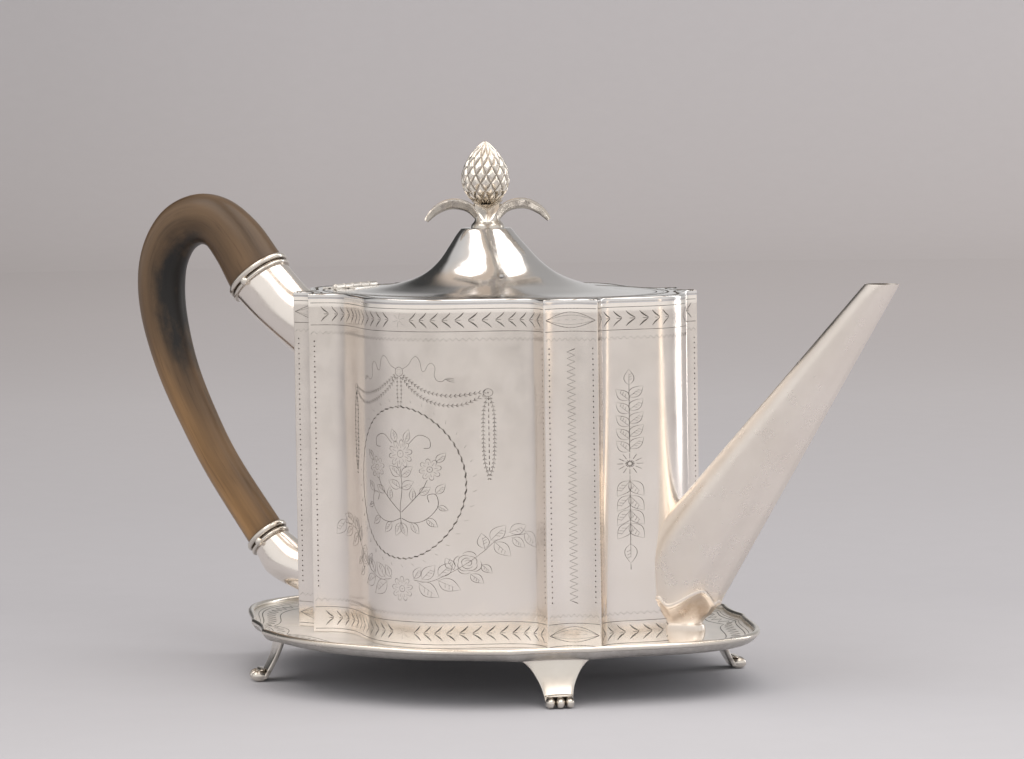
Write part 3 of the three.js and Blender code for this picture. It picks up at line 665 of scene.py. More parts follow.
def collar_mesh(name, end):
    stations = [(0.3, -1.0)] + bead(0.3, 2.5, 0.25, 1.0) + [(2.62, 0.05), (2.88, 0.05)]
    stations += bead(3.0, 4.4, 0.2, 0.72) + [(4.4, -1.2)]
    rings = [
        oval_ring(end["at"] + end["into"] * a, end["into"], end["half"][0] + o, end["half"][1] + o, 96)
        for a, o in stations
    ]
    # Patina and painted shade in the groove between the beads and at both ends of the collar.
    groove = [1.0 if 2.4 < a < 3.1 else (0.55 if a < 0.5 or a > 4.3 else 0.0) for a, o in stations]
    return mesh_of(name, *skin(rings, "loop"), patina_and_shade=np.repeat(groove, 96))


def socket_mesh(name, end, middle, foot):
    """A plain hollow cone from the collar to an oval foot that follows the end wall."""
    steps = 96
    angle = np.arange(steps) * TAU / steps
    mouth = oval_ring(end["at"] + end["into"] * 4.3, end["into"], end["half"][0] - 0.1, end["half"][1] - 0.1, steps)
    x, z, half_depth, half_breadth = middle
    swell = oval_ring((x, z), end["into"], half_depth, half_breadth, steps)
    foot_z, half_height, half_width = foot
    buried = np.stack(
        [np.full(steps, -66.4), half_width * np.sin(angle), foot_z - half_height * np.cos(angle)], 1
    )
    track = through([mouth, swell, buried], 161)
    depth = track[..., 0] + end_x(POT, track[..., 1])
    stop = np.argmax(depth > 0.3, axis=0)
    rows = 40
    rings = np.zeros((rows, steps, 3))
    for j in range(steps):
        place = np.linspace(0, stop[j], rows)
        for k in range(3):
            rings[:, j, k] = np.interp(place, np.arange(161), track[:, j, k])
    return mesh_of(name, *skin(rings))


def rivet_mesh(name, end):
    """A cross pin with low domed heads."""
    centre = end["at"] + end["into"] * 3.4
    reach = end["half"][1]
    profile = [(0.01, reach + 1.75), (0.6, reach + 1.7), (1.1, reach + 1.45), (1.45, reach + 1.0), (1.5, reach + 0.6)]
    stations = profile + [(r, -y) for r, y in profile[::-1]]
    angle = np.arange(32) * TAU / 32
    rings = [
        np.stack([centre[0] + r * np.cos(angle), np.full(32, y), centre[1] + r * np.sin(angle)], 1)
        for r, y in stations
    ]
    return mesh_of(name, *skin(rings))


SOCKETS = {
    "upper": (UPPER, (-86.5, 120.0, 10.9, 8.2), (109.0, 15.0, 9.4)),
    "lower": (LOWER, (-86.5, 32.4, 8.9, 7.0), (27.6, 9.4, 7.4)),
}
for which, (end, middle, foot) in SOCKETS.items():
    add_object(
        f"{which}_socket_cone", socket_mesh(which, end, middle, foot), SHEET_SILVER, "teapot",
        [f"{which}_handle_socket"],
    )
    add_object(
        f"{which}_collar_beads", collar_mesh(which, end), CAST_SILVER, "teapot",
        [f"{which}_socket_collar"], 50,
    )
    add_object(
        f"{which}_rivet", rivet_mesh(which, end), CAST_SILVER, "teapot",
        [f"{which}_handle_pin"],
    )


# ---------- stand ----------
# The dish as (share of the way from the pot's outline to the stand's, height).
DISH_TOP = [(0.0, 15.55), (0.1, 15.6), (0.4, 16.1), (0.65, 16.7), (0.86, 17.35), (0.965, 17.9)]
DISH_UNDER = [(0.975, 17.5), (0.945, 16.6), (0.90, 15.7), (0.83, 15.0), (0.7, 14.55), (0.45, 14.3), (0.1, 14.2), (0.0, 14.2)]


def tray_rings():
    top = through(DISH_TOP, 26)
    under = through(DISH_UNDER, 26)
    rings = [at_height(between(0) * 0.4, 14.2)]
    rings += [at_height(between(share), z) for share, z in under[::-1]]
    rings += [at_height(between(share), z) for share, z in top[::-1]]
    rings.append(at_height(between(0) * 0.4, DISH_TOP[0][1]))
    # Painted shade: the whole underside is darkened, standing in for the shadowed floor that it reflects.
    dimmer = [0.55] * (1 + len(under)) + [0.0] * (1 + len(top))
    return rings, np.append(np.repeat(dimmer, len(POT_LINE)), [0.55, 0.0])


dish, dish_painted_shade = tray_rings()
dish_mesh = mesh_of("stand_dish", *skin(dish), patina_and_shade=dish_painted_shade)
add_object("stand_dish", dish_mesh, TRAY_SILVER, "stand", ["stand_tray"])


def rim_rings():
    """The applied wire: a rounded bead."""
    angle = np.arange(18) * TAU / 18
    middle, width, height = 0.955, 0.046, 0.95
    profile = [(middle + width * np.cos(a), 18.35 + height * np.sin(a)) for a in angle]
    return [at_height(between(share), z) for share, z in profile]


add_object("stand_edge", mesh_of("stand_edge", *skin(rim_rings(), "loop")), CAST_SILVER, "stand", ["stand_rim"], 60)


def ellipsoid(centre, half, rows=14, cols=22):
    rings = []
    for i in range(1, rows):
        a = np.pi * i / rows
        ring = np.stack(
            [
                centre[0] + half[0] * math.sin(a) * np.cos(np.arange(cols) * TAU / cols),
                centre[1] + half[1] * math.sin(a) * np.sin(np.arange(cols) * TAU / cols),
                np.full(cols, centre[2] + half[2] * math.cos(a)),
            ],
            1,
        )
        rings.append(ring)
    return skin(rings)


def foot_mesh():
    """One bracket foot facing +X: a thin leg with hollow sides, and three rounded toes."""
    waist = through(
        [(16.2, 12.6), (14.9, 11.7), (13.2, 9.6), (11.2, 7.9), (8.6, 6.4), (6.0, 5.3), (3.4, 4.7), (1.0, 4.4)], 34
    )
    steps = 40
    angle = np.arange(steps) * TAU / steps
    rings = []
    for z, half in waist:
        flare = (1 - min(z, 14.85) / 14.85) ** 1.6
        out = -6.6 + (6.6 + 0.4 - 0.8) * flare
        c, s = np.cos(angle), np.sin(angle)
        thick = 0.85 + 0.25 * flare
        y = half * np.sign(s) * np.abs(s) ** 0.35
        x = out + thick * np.sign(c) * np.abs(c) ** 0.5
        rings.append(np.stack([x, y, np.full(steps, z)], 1))
    leg = mesh_of("leg", *skin(rings))
    toes = [ellipsoid((0.4 + (0.3 if i == 1 else 0), (i - 1) * 3.05, 1.85), (2.7, 1.62, 1.9)) for i in range(3)]
    toes.append(ellipsoid((-0.4, 0.0, 3.85), (1.35, 4.7, 0.6)))
    made = leg
    for verts, faces in toes:
        made = boolean(made, mesh_of("toe", verts, faces), "UNION")
    level = np.array([v.co[2] for v in made.vertices]) / MM
    across = np.array([v.co[1] for v in made.vertices]) / MM
    # Patina and painted shade in the creases between the toes and along the line where the flat pad meets them.
    crease = np.clip(1 - np.abs(np.abs(across) - 1.52) / 0.5, 0, 1) * (level < 3.7)
    line = np.exp(-(((level - 3.3) / 0.35) ** 2))
    layer = made.attributes.new("patina_and_shade", "FLOAT", "POINT")
    layer.data.foreach_set("value", np.clip(crease + line, 0, 1).astype(np.float32) * 0.8)
    return made


FEET = {
    "front_right": (1, -1, -FOOT_FACING),
    "front_left": (-1, -1, math.pi + FOOT_FACING),
    "back_right": (1, 1, FOOT_FACING),
    "back_left": (-1, 1, math.pi - FOOT_FACING),
}
foot_shape = foot_mesh()
for corner, (along_x, along_y, turn) in FEET.items():
    copy = foot_shape.copy()
    place = Matrix.Translation((along_x * FOOT_PLACE[0] * MM, along_y * FOOT_PLACE[1] * MM, 0))
    copy.transform(place @ Matrix.Rotation(turn, 4, "Z"))
    copy.name = f"foot_{corner}"
    add_object(f"foot_{corner}", copy, CAST_SILVER, "stand", [f"stand_foot_{corner}"], 45)

# ---------- hinge ----------
def barrel(from_y, to_y, radius, steps=28):
    """A knuckle with eased ends."""
    stations = [(radius - 0.15, from_y), (radius, from_y + 0.15), (radius, to_y - 0.15), (radius - 0.15, to_y)]
    angle = np.arange(steps) * TAU / steps
    return skin(
        [
            np.stack([HINGE_X + r * np.cos(angle), np.full(steps, y), HINGE_Z + r * np.sin(angle)], 1)
            for r, y in stations
        ]
    )


def slab(low, high, ease=0.12):
    """A thin plate with its top edges eased."""
    (x0, y0, z0), (x1, y1, z1) = low, high
    rings = []
    for inset, z in ((0, z0), (0, z1 - ease), (ease, z1)):
        rings.append(
            [
                (x0 + inset, y0 + inset, z),
                (x1 - inset, y0 + inset, z),
                (x1 - inset, y1 - inset, z),
                (x0 + inset, y1 - inset, z),
            ]
        )
    return skin(rings)


pitch = 2 * HINGE_HALF / 5
leaf_base = DECK_TOP + 0.02
for name, node, body, slots, way in (
    ("hinge_fixed_leaf", "hinge_leaf_deck", "teapot", (0, 2, 4), -1),
    ("hinge_moving_leaf", "hinge_leaf_lid", "lid", (1, 3), 1),
):
    parts = []
    for slot in slots:
        low = -HINGE_HALF + pitch * slot
        parts.append(barrel(low + 0.1, low + pitch - 0.1, 1.0))
        inner, outer_x = sorted((HINGE_X + way * 0.6, HINGE_X + way * 2.8))
        parts.append(slab((inner, low + 0.15, leaf_base), (outer_x, low + pitch - 0.15, leaf_base + 0.4)))
    first = -HINGE_HALF + (0.15 if way < 0 else pitch + 0.15)
    inner, outer_x = sorted((HINGE_X + way * 1.8, HINGE_X + way * 5.2))
    parts.append(slab((inner, first, leaf_base), (outer_x, -first, leaf_base + 0.36)))
    add_object(name, mesh_of(name, *together(parts)), INNER_SILVER, body, [node])
pin_end = HINGE_HALF + 0.35
pin = skin(
    [
        np.stack(
            [
                HINGE_X + r * np.cos(np.arange(20) * TAU / 20),
                np.full(20, y),
                HINGE_Z + r * np.sin(np.arange(20) * TAU / 20),
            ],
            1,
        )
        for r, y in ((0.3, -pin_end), (0.6, -pin_end + 0.25), (0.6, pin_end - 0.25), (0.3, pin_end))
    ]
)
add_object("hinge_wire", mesh_of("hinge_wire", *pin), INNER_SILVER, "teapot", ["hinge_pin"])

# ---------- lid ----------
DOME = [
    (59.6, 37.6, DECK_TOP),
    (55.5, 35.0, DECK_TOP + 0.02),
    (51.0, 32.2, DECK_TOP + 0.1),
    (43.0, 27.6, DECK_TOP + 0.9),
    (33.0, 21.6, DECK_TOP + 2.8),
    (24.8, 16.8, DECK_TOP + 5.6),
    (18.4, 13.8, DECK_TOP + 9.8),
    (13.4, 11.2, DECK_TOP + 15.0),
    (8.9, 8.6, DOME_TOP - 0.8),
    (7.9, 7.7, DOME_TOP - 0.12),
    (7.2, 7.0, DOME_TOP),
]


def lean(z):
    """How far the hand-raised dome and its finial stray towards the handle."""
    return -2.6 * np.clip((np.asarray(z) - DECK_TOP - 0.5) / 18.0, 0, 1)


def lid_rings():
    steps = 192
    angle = np.arange(steps) * TAU / steps
    outer = np.vstack([[(59.45, 37.45, DECK_TOP - 0.6)], [(59.6, 37.6, DECK_TOP - 0.15)], through(DOME, 96)])
    rings = [at_height(oval_at((a, b), angle), z) for a, b, z in outer]
    rings += [at_height(oval_at((1.9, 1.9), angle), z) for z in (DOME_TOP, DOME_TOP - SHEET)]
    for a, b, z in through(DOME, 60)[::-1]:
        rings.append(at_height(oval_at((a - 0.4, b - 0.4), angle), z - SHEET))
    for ring in rings:
        ring[:, 0] = np.maximum(ring[:, 0] + lean(ring[:, 2]), LID_CUT)
    return rings


def vent_mesh():
    return mesh_of("vent", *skin(lathe([(0.9, DECK_TOP + 1), (0.9, DECK_TOP + 12)], 20, (13.2, -13.9))))


lid_mesh = boolean(mesh_of("lid_dome", *skin(lid_rings(), "loop")), vent_mesh(), "DIFFERENCE")
add_object("lid_dome", lid_mesh, DECK_SILVER, "lid", ["lid_shell"], 40)


# ---------- finial ----------
def leaf_parts(turn):
    """One calyx leaf: it climbs from the stem, arches over and droops, folded along its midrib."""
    stations = through(
        [
            (1.6, 150.0, 1.6, 1.4),
            (3.2, 153.0, 2.8, 1.2),
            (6.0, 155.9, 4.1, 1.0),
            (10.0, 157.2, 4.7, 0.95),
            (14.0, 156.8, 4.5, 0.95),
            (17.4, 155.0, 3.6, 1.0),
            (19.4, 153.1, 2.4, 1.05),
            (20.5, 151.7, 1.2, 1.0),
        ],
        42,
    )
    way = np.gradient(stations[:, :2], axis=0)
    way /= np.linalg.norm(way, axis=1)[:, None]
    v = np.linspace(-1, 1, 17)
    rings, dark = [], []
    for i, ((r, z, half, thick), (wr, wz)) in enumerate(zip(stations, way)):
        share = i / (len(stations) - 1)
        nr, nz = -wz, wr
        lobes = 1 + 0.07 * math.sin(share * TAU * 4.5) * math.sin(np.pi * share)
        fold = 0.62 * half * (np.abs(v) ** 1.2 - 0.5) + 0.06 * np.cos(v * np.pi * 3.0) * math.sin(np.pi * share)
        body = thick * (1 - 0.55 * np.abs(v) ** 3)
        top = np.stack([r + nr * (fold + body / 2), v * half * lobes, z + nz * (fold + body / 2)], 1)
        low = np.stack([r + nr * (fold - body / 2), v * half * lobes, z + nz * (fold - body / 2)], 1)[::-1]
        rings.append(np.vstack([top, low]))
        # Patina and painted shade along the folded midrib; painted shade on the leaf's underside and near the stem.
        midrib_patina_and_shade = np.exp(-((v / 0.12) ** 2)) * 0.6
        dark.append(np.concatenate([midrib_patina_and_shade, 0.08 * np.ones(17)]) + 0.35 * math.exp(-share * 9))
    rings = np.array(rings)
    c, s = math.cos(turn), math.sin(turn)
    turned = rings.copy()
    turned[..., 0] = rings[..., 0] * c - rings[..., 1] * s
    turned[..., 1] = rings[..., 0] * s + rings[..., 1] * c
    shade = np.concatenate([np.clip(np.array(dark), 0, 1).ravel(), [1, 0]])
    return skin(turned), shade


def calyx_mesh():
    hub_profile = through(
        [(5.6, DOME_TOP + 0.05), (5.3, 150.3), (4.4, 151.5), (4.1, 153.3), (4.5, 155.3), (5.3, 157.0)], 22
    )
    hub = skin(lathe(hub_profile, 48))
    # The hub is a little darker all over (0.15).
    shades = [np.full(len(hub[0]), 0.15)]
    parts = [hub]
    for i in range(4):
        leaf, shade = leaf_parts(math.radians(35) + i * math.pi / 2)
        parts.append(leaf)
        shades.append(shade)
    verts, faces = together(parts)
    verts = np.array(verts) + [0.75 * lean(DOME_TOP), 0, 0]
    return mesh_of("calyx_leaves", verts, faces, patina_and_shade=np.concatenate(shades))


add_object("calyx_leaves", calyx_mesh(), CAST_SILVER, "lid", ["finial_calyx"], 50)


def pineapple_mesh():
    """An egg covered by raised lozenges between two crossing families of spiral grooves."""
    rows, cols = 170, 240
    around, turns = 13, 8.0
    bottom, top = 156.5, FINIAL_TOP
    angle = np.arange(cols) * TAU / cols
    rings, dark = [], []
    for i in range(rows + 1):
        s = i / rows
        radius = 7.9 * max(math.sin(math.pi * s**0.80), 0.0) ** 0.66 * (1 - 0.16 * s**4)
        height = bottom + (top - bottom) * s
        climb = turns * (s**0.94) * math.pi
        a = np.abs(np.sin((around * angle + climb * (1 - 0.30 * s**2)) / 2))
        b = np.abs(np.sin((around * angle - climb * (1 + 0.20 * s**2)) / 2))
        groove = np.minimum(a, b)
        scale = np.clip(groove * 1.25, 0, 1) ** 0.75
        ease = min(1.0, radius / 3.5)
        r = radius + (0.85 * scale - 0.62) * ease
        rings.append(np.stack([r * np.cos(angle) + lean(DOME_TOP), r * np.sin(angle), np.full(cols, height)], 1))
        # Patina and painted shade in the grooves, fading out towards the narrow ends.
        dark.append(np.clip(1.0 - groove * 2.6, 0, 1) * 0.9 * ease)
    shade = np.concatenate([np.array(dark).ravel(), [0, 0]])
    return mesh_of("pineapple", *skin(rings), patina_and_shade=shade)


add_object("pineapple", pineapple_mesh(), CAST_SILVER, "lid", ["finial_pineapple"], 180)

# ---------- inner pieces keep their CAD shapes ----------
for node in ("base_plate", "lid_seat", "lid_flange", "finial_washer", "finial_nut"):
    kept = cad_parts[node]
    kept.data.materials.clear()
    kept.data.materials.append(INNER_SILVER)


# ---------- engraving ----------
# Each cut line is a closed three-sided ridge in dark metal that stands a hair proud of its surface.
class Engraving:
    def __init__(self, put):
        """put(points, off) turns (N, 2) panel points and a stand-off into (N, 3) points."""
        self.put, self.parts = put, []

    def stroke(self, points, weight=0.34, taper=False):
        p = np.asarray(points, float)
        way = np.gradient(p, axis=0)
        way /= np.linalg.norm(way, axis=1)[:, None] + 1e-9
        t = np.linspace(0, 1, len(p))
        half = weight / 2 * (0.25 + 0.75 * np.sin(np.pi * t**0.8) if taper else np.ones(len(p)))
        out = np.stack([-way[:, 1], way[:, 0]], 1) * half[:, None]
        rows = np.stack([self.put(p + out, -0.06), self.put(p, 0.055), self.put(p - out, -0.06)], 1)
        self.parts.append(skin(rows))

    def dot(self, u, z, half=0.36):
        turn = np.array([[-1, -1], [1, -1], [1, 1], [-1, 1]]) * [half * 0.8, half]
        base = self.put(turn + [u, z], -0.06)
        peak = self.put(np.array([[u, z]]), 0.12)
        faces = [(0, 1, 4), (1, 2, 4), (2, 3, 4), (3, 0, 4), (3, 2, 1, 0)]
        self.parts.append((np.vstack([base, peak]), faces))

    def line(self, u0, u1, z, weight=0.4, step=1.0):
        u = np.linspace(u0, u1, max(2, int(abs(u1 - u0) / step)))
        self.stroke(np.stack([u, np.full(len(u), z)], 1), weight)

    def zigzag(self, start, stop, pitch=1.7, rise=0.5, weight=0.2):
        start, stop = np.array(start, float), np.array(stop, float)
        reach = np.linalg.norm(stop - start)
        count = max(4, int(reach / pitch) * 2 + 1)
        t = np.linspace(0, 1, count)[:, None]
        across = np.array([-(stop - start)[1], (stop - start)[0]]) / reach
        swing = np.where(np.arange(count) % 2, rise, -rise)[:, None]
        self.stroke(start + (stop - start) * t + across * swing, weight)

    def leaf(self, base, tip, plump=0.30, weight=0.34):
        base, tip = np.array(base, float), np.array(tip, float)
        way = tip - base
        across = np.array([-way[1], way[0]])
        t = np.linspace(0, 1, 10)[:, None]
        belly = np.sin(np.pi * t**0.8) * plump
        for sign in (-1, 1):
            self.stroke(base + way * t + across * belly * sign, weight, True)
        self.stroke(base + way * np.linspace(-0.12, 0.72, 5)[:, None], weight * 0.7, True)
        for at in (0.3, 0.48, 0.64):
            root = base + way * at
            self.stroke([root, root + way * 0.10 - across * plump * 0.62], weight * 0.6)

    def ring(self, centre, radius, weight=0.3, steps=18, squash=1.0):
        a = np.linspace(0, TAU, steps)
        self.stroke(np.array(centre) + radius * np.stack([np.cos(a), np.sin(a) * squash], 1), weight)

    def flower(self, centre, radius, petals=8, weight=0.32):
        centre = np.array(centre, float)
        for i in range(petals):
            a = TAU * i / petals + 0.2
            t = np.linspace(-1, 1, 9)
            spin = a + t * math.pi / petals * 0.86
            reach = radius * (0.44 + 0.56 * np.sqrt(1 - 0.94 * t**2))
            self.stroke(centre + reach[:, None] * np.stack([np.cos(spin), np.sin(spin)], 1), weight, True)
            way = np.array([math.cos(a), math.sin(a)])
            self.stroke([centre + way * radius * 0.42, centre + way * radius * 0.72], weight * 0.6)
        self.ring(centre, radius * 0.26, weight * 0.8, 12)
        self.dot(*centre, 0.22)

    def rose(self, centre, radius, weight=0.36):
        centre = np.array(centre, float)
        for turn, reach, sweep in (
            (0.3, 0.28, 4.4), (2.4, 0.46, 2.3), (4.5, 0.50, 2.2), (0.6, 0.66, 1.7), (2.3, 0.74, 1.7),
            (3.9, 0.78, 1.6), (5.4, 0.74, 1.5), (1.4, 1.0, 1.2), (2.9, 1.0, 1.2), (4.3, 1.0, 1.2), (5.8, 1.0, 1.3),
        ):
            a = turn + np.linspace(-sweep / 2, sweep / 2, 10)
            lift = radius * reach * (1 - 0.16 * np.linspace(-1, 1, 10) ** 2)
            self.stroke(centre + lift[:, None] * np.stack([np.cos(a), np.sin(a)], 1), weight, True)

    def leafy(self, path, pitch=1.15, nick=1.05, lean=0.75, weight=0.5):
        """A garland: little leaves leaning off both sides of a curve."""
        path = through(path, 60)
        reach = np.linalg.norm(np.diff(path, axis=0), axis=1).sum()
        spots = even(path, max(3, int(reach / pitch)))
        way = np.gradient(spots, axis=0)
        way /= np.linalg.norm(way, axis=1)[:, None]
        for i, (spot, w) in enumerate(zip(spots, way)):
            n = np.array([-w[1], w[0]])
            for sign in (-1, 1):
                end_at = spot + w * nick * lean + n * nick * 0.55 * sign
                self.stroke([spot, (spot + end_at) / 2 + n * 0.08 * sign, end_at], weight, True)
        self.stroke(path[::3], weight * 0.5)

    def finish(self, name, body):
        mesh = mesh_of(name, *together(self.parts))
        add_object(name, mesh, ENGRAVED, body, sharp=180)


def on_wall(place):
    """Panel point to wall point, for a panel whose plan points are place(u)."""

    def put(points, off):
        points = np.asarray(points, float)
        u, z = points[:, 0], points[:, 1]
        at, ahead = place(u), place(u + 0.05) - place(u - 0.05)
        normal = np.stack([ahead[:, 1], -ahead[:, 0]], 1)
        normal /= np.linalg.norm(normal, axis=1)[:, None]
        normal *= np.sign((normal * at).sum(1))[:, None]
        stray = ripple(at[:, 0], at[:, 1], z) * np.sin(np.pi * (z - POT_BOTTOM) / (WALL_TOP - POT_BOTTOM))
        return np.column_stack([at + normal * (off + stray)[:, None], z])

    return put


def side_place(sign):
    return lambda u: np.stack([-sign * u, sign * side_y(POT, u)], 1)


def end_place(sign):
    return lambda u: np.stack([sign * end_x(POT, u), sign * u], 1)


def pilaster_place(sign_x, sign_y):
    side, end = np.array(POT["side"]), np.array(POT["end"])
    chord = end - side
    length = np.hypot(*chord)
    inward = np.array([chord[1], -chord[0]]) / length

    def place(u):
        t = (u / length)[:, None]
        flat = side + chord * t + inward * POT["pilaster"] * np.sin(np.pi * t)
        return flat * [sign_x, sign_y]

    return place


BAND_TOP = (118.0, 125.3, 115.4)
BAND_LOW = (16.8, 24.0, 26.5)


def band(cut, half, middle, low, high, fringe):
    """A border between two lines: leaf chevrons that point to a star at the panel's middle."""
    cut.line(-half, half, low)
    cut.line(-half, half, high)
    cut.zigzag((-half, fringe), (half, fringe))
    z = (low + high) / 2
    for i in range(6):
        a = TAU * i / 6 + 0.3
        way = np.array([math.cos(a), math.sin(a)])
        cut.stroke([np.array([middle, z]) + way * 0.5, np.array([middle, z]) + way * 2.4], 0.62, True)
    for sign in (-1, 1):
        u = middle + sign * 3.9
        while abs(u + sign * 2.6) < half:
            for rise in (-1, 1):
                t = np.linspace(0.06, 1, 6)
                arm = np.stack([u + sign * (2.6 * t + 0.3 * np.sin(np.pi * t)), z + rise * 2.45 * t], 1)
                cut.stroke(arm, 0.92, True)
            cut.stroke([(u + sign * 0.3, z), (u + sign * 1.7, z)], 0.36)
            u += sign * 3.45


def dotted(cut, half):
    for z in np.arange(31, 114, 1.7):
        for u in (-half, half):
            cut.dot(u, z)


def front_garlands(cut, middle):
    """Ribbon, swags, drops, the framed spray and the long garland of one side panel."""
    for sign in (-1, 1):

        def at(*points):
            return np.array([(middle + sign * u, z) for u, z in points])

        ribbon = [(1.2, 105.8), (3.6, 107.2), (5.2, 109.4), (6.6, 110.0), (7.8, 108.2), (8.3, 105.6)]
        ribbon += [(9.3, 105.4), (10.4, 107.4), (11.6, 107.8), (12.5, 106.3), (12.2, 104.0), (13.0, 102.3)]
        ribbon += [(14.4, 102.0), (15.4, 102.9)]
        cut.stroke(through(at(*ribbon), 60), 0.26)
        for rise in (-0.6, 0.0, 0.6):
            cut.stroke(at((15.2, 102.8), (16.3, 102.6 + rise * 0.8), (17.8, 102.2 + rise)), 0.42, True)
        cut.leafy(at((1.6, 103.9), (4.2, 102.0), (8.6, 99.2), (12.6, 97.9), (16.2, 97.3), (20.4, 97.6), (25.0, 98.4)))
        cut.leafy(at((1.3, 103.2), (4.4, 99.6), (8.6, 96.6), (12.5, 94.9), (16.1, 94.2), (20.2, 94.6), (24.8, 97.0)))
        cut.ring(at((26.2, 98.2))[0], 1.25, 0.32)
        cut.dot(*at((26.2, 98.2))[0], 0.3)
        for edge in (-1.45, 1.45):
            run = at((26.3 + edge * 0.3, 96.6), (26.3 + edge * 0.9, 92), (26.3 + edge, 84), (26.3 + edge * 0.8, 76))
            cut.leafy(np.vstack([run, at((26.3, 70.6))]), 1.2, 0.8)
        for z in np.arange(73, 96, 1.9):
            cut.stroke(at((26.3, z), (26.3, z + 1.1)), 0.46)
        cut.stroke(through(at((4.6, 37.6), (9.6, 37.2), (15.0, 39.6), (20.6, 43.4), (24.8, 47.2)), 30), 0.3)
        cut.stroke(through(at((24.8, 47.2), (27.6, 50.2), (31.6, 51.8), (36.4, 52.6)), 20), 0.3)
        for base, tip in (
            ((36.2, 53.4), (40.4, 48.4)), ((31.4, 53.0), (36.6, 55.4)), ((32.2, 51.2), (36.0, 48.2)),
            ((26.4, 50.6), (30.4, 55.3)), ((27.4, 49.8), (31.6, 45.2)), ((24.8, 47.8), (24.0, 52.8)),
            ((24.0, 42.6), (26.6, 39.8)), ((21.2, 39.6), (24.4, 36.6)), ((16.8, 41.2), (14.6, 45.0)),
            ((12.6, 39.2), (16.6, 43.4)), ((7.4, 38.0), (11.6, 42.6)), ((12.6, 37.6), (18.6, 34.6)),
            ((6.4, 36.6), (12.6, 32.2)), ((4.6, 38.2), (7.0, 42.0)),
        ):
            cut.leaf(at(base)[0], at(tip)[0])
        cut.rose(at((20.5, 43.3))[0], 3.7)
    cut.ring((middle, 105.0), 1.5, 0.34)
    for i in range(6):
        cut.dot(middle + 0.8 * math.cos(i * TAU / 6), 105.0 + 0.8 * math.sin(i * TAU / 6), 0.18)
    cut.leafy([(middle - 0.7, 103.2), (middle - 0.8, 98), (middle - 0.5, 94.2)], 1.1, 0.6)
    cut.leafy([(middle + 0.7, 103.2), (middle + 0.8, 98), (middle + 0.5, 94.2)], 1.1, 0.6)
    cut.flower((middle, 34.6), 4.0, 9)
    medallion(cut, middle, 69.0)


def medallion(cut, u, z):
    """An oval of leaf dashes with a spray of three flowers inside."""
    half_u, half_z = 20.4, 24.6
    fine = np.linspace(0, TAU, 121)
    cut.stroke(np.stack([u + half_u * np.cos(fine), z + half_z * np.sin(fine)], 1), 0.28)
    count = 58
    for i in range(count):
        a = TAU * (i + np.linspace(-0.36, 0.36, 5)) / count
        sway = 1 + np.linspace(-0.014, 0.014, 5)
        cut.stroke(np.stack([u + half_u * np.cos(a) * sway, z + half_z * np.sin(a) * sway], 1), 1.0, True)
    for i in range(34):
        a = TAU * (i + 0.5) / 34
        spot = np.array([u + (half_u + 2.3) * math.cos(a), z + (half_z + 2.3) * math.sin(a)])
        if not (abs(spot[0] - u) < 3 and spot[1] > z):
            way = np.array([math.cos(a + 0.6), math.sin(a + 0.6)])
            cut.stroke([spot - way * 0.55, spot + way * 0.55], 0.6, True)
    cut.flower((u, z + 9.4), 4.6, 10, 0.38)
    cut.stroke(through([(u, z + 4.6), (u + 0.5, z - 2), (u - 0.3, z - 8), (u, z - 13.5)], 24), 0.44)
    for sign in (-1, 1):

        def at(*points):
            return np.array([(u + sign * a, z + b) for a, b in points])

        cut.stroke(through(at((0.2, -9.5), (3.6, -6.5), (7.6, -2.4), (9.6, 1.2)), 24), 0.42)
        cut.flower(at((10.4, 4.6))[0], 3.5, 8, 0.36)
        scroll = [(0.2, -11.5), (4.4, -12.8), (9.0, -11.6), (12.6, -7.6), (12.2, -3.6), (9.6, -3.8), (10.0, -6.0)]
        cut.stroke(through(at(*scroll), 48), 0.4)
        cut.stroke(through(at((3.4, 12.8), (6.8, 15.6), (10.2, 14.6), (10.6, 11.8), (8.6, 11.4)), 30), 0.36)
        for base, tip in (
            ((0.3, 2.2), (4.6, 5.4)), ((0.3, -1.6), (5.0, 0.6)), ((4.4, -5.6), (4.6, -1.4)),
            ((6.8, -3.4), (10.6, -1.2)), ((4.0, -12.8), (6.6, -16.4)), ((9.2, -11.4), (12.6, -14.0)),
            ((12.8, -7.4), (15.6, -8.6)), ((12.2, -3.2), (14.9, 0.0)), ((12.4, 7.0), (15.2, 10.0)),
            ((1.8, 13.2), (3.4, 17.4)), ((0.2, -13.0), (2.2, -17.2)),
        ):
            cut.leaf(at(base)[0], at(tip)[0], 0.28, 0.36)


def end_drop(cut, u):
    """An upright drop: buds at both ends, paired leaves, a flower where the two halves meet."""
    cut.leaf((u, 100.2), (u, 105.2), 0.26)
    cut.stroke([(u, 100.4), (u, 94), (u, 86), (u, 78.6)], 0.32)
    for z in (97.4, 93.2, 89.0, 84.8, 80.8):
        for sign in (-1, 1):
            cut.leaf((u, z - 1.6 + 0.5 * sign), (u + sign * 3.6, z + 1.9 + 0.5 * sign), 0.30)
    for i in range(12):
        a = TAU * i / 12
        way = np.array([math.cos(a), math.sin(a)])
        middle = np.array([u, 74.8])
        cut.stroke([middle + way * 1.7, middle + way * 3.4], 1.25, True)
        cut.stroke([middle + way * 0.5, middle + way * 1.2], 0.55)
    cut.stroke([(u, 71.0), (u, 62), (u, 54), (u, 48.6)], 0.32)
    for z in (66.6, 61.8, 57.2, 52.8):
        for sign in (-1, 1):
            cut.leaf((u, z + 2.6), (u + sign * 3.5, z - 2.2), 0.30)
    cut.leaf((u, 48.8), (u, 42.6), 0.26)
    cut.stroke([(u, 42.4), (u, 40.6)], 0.3)


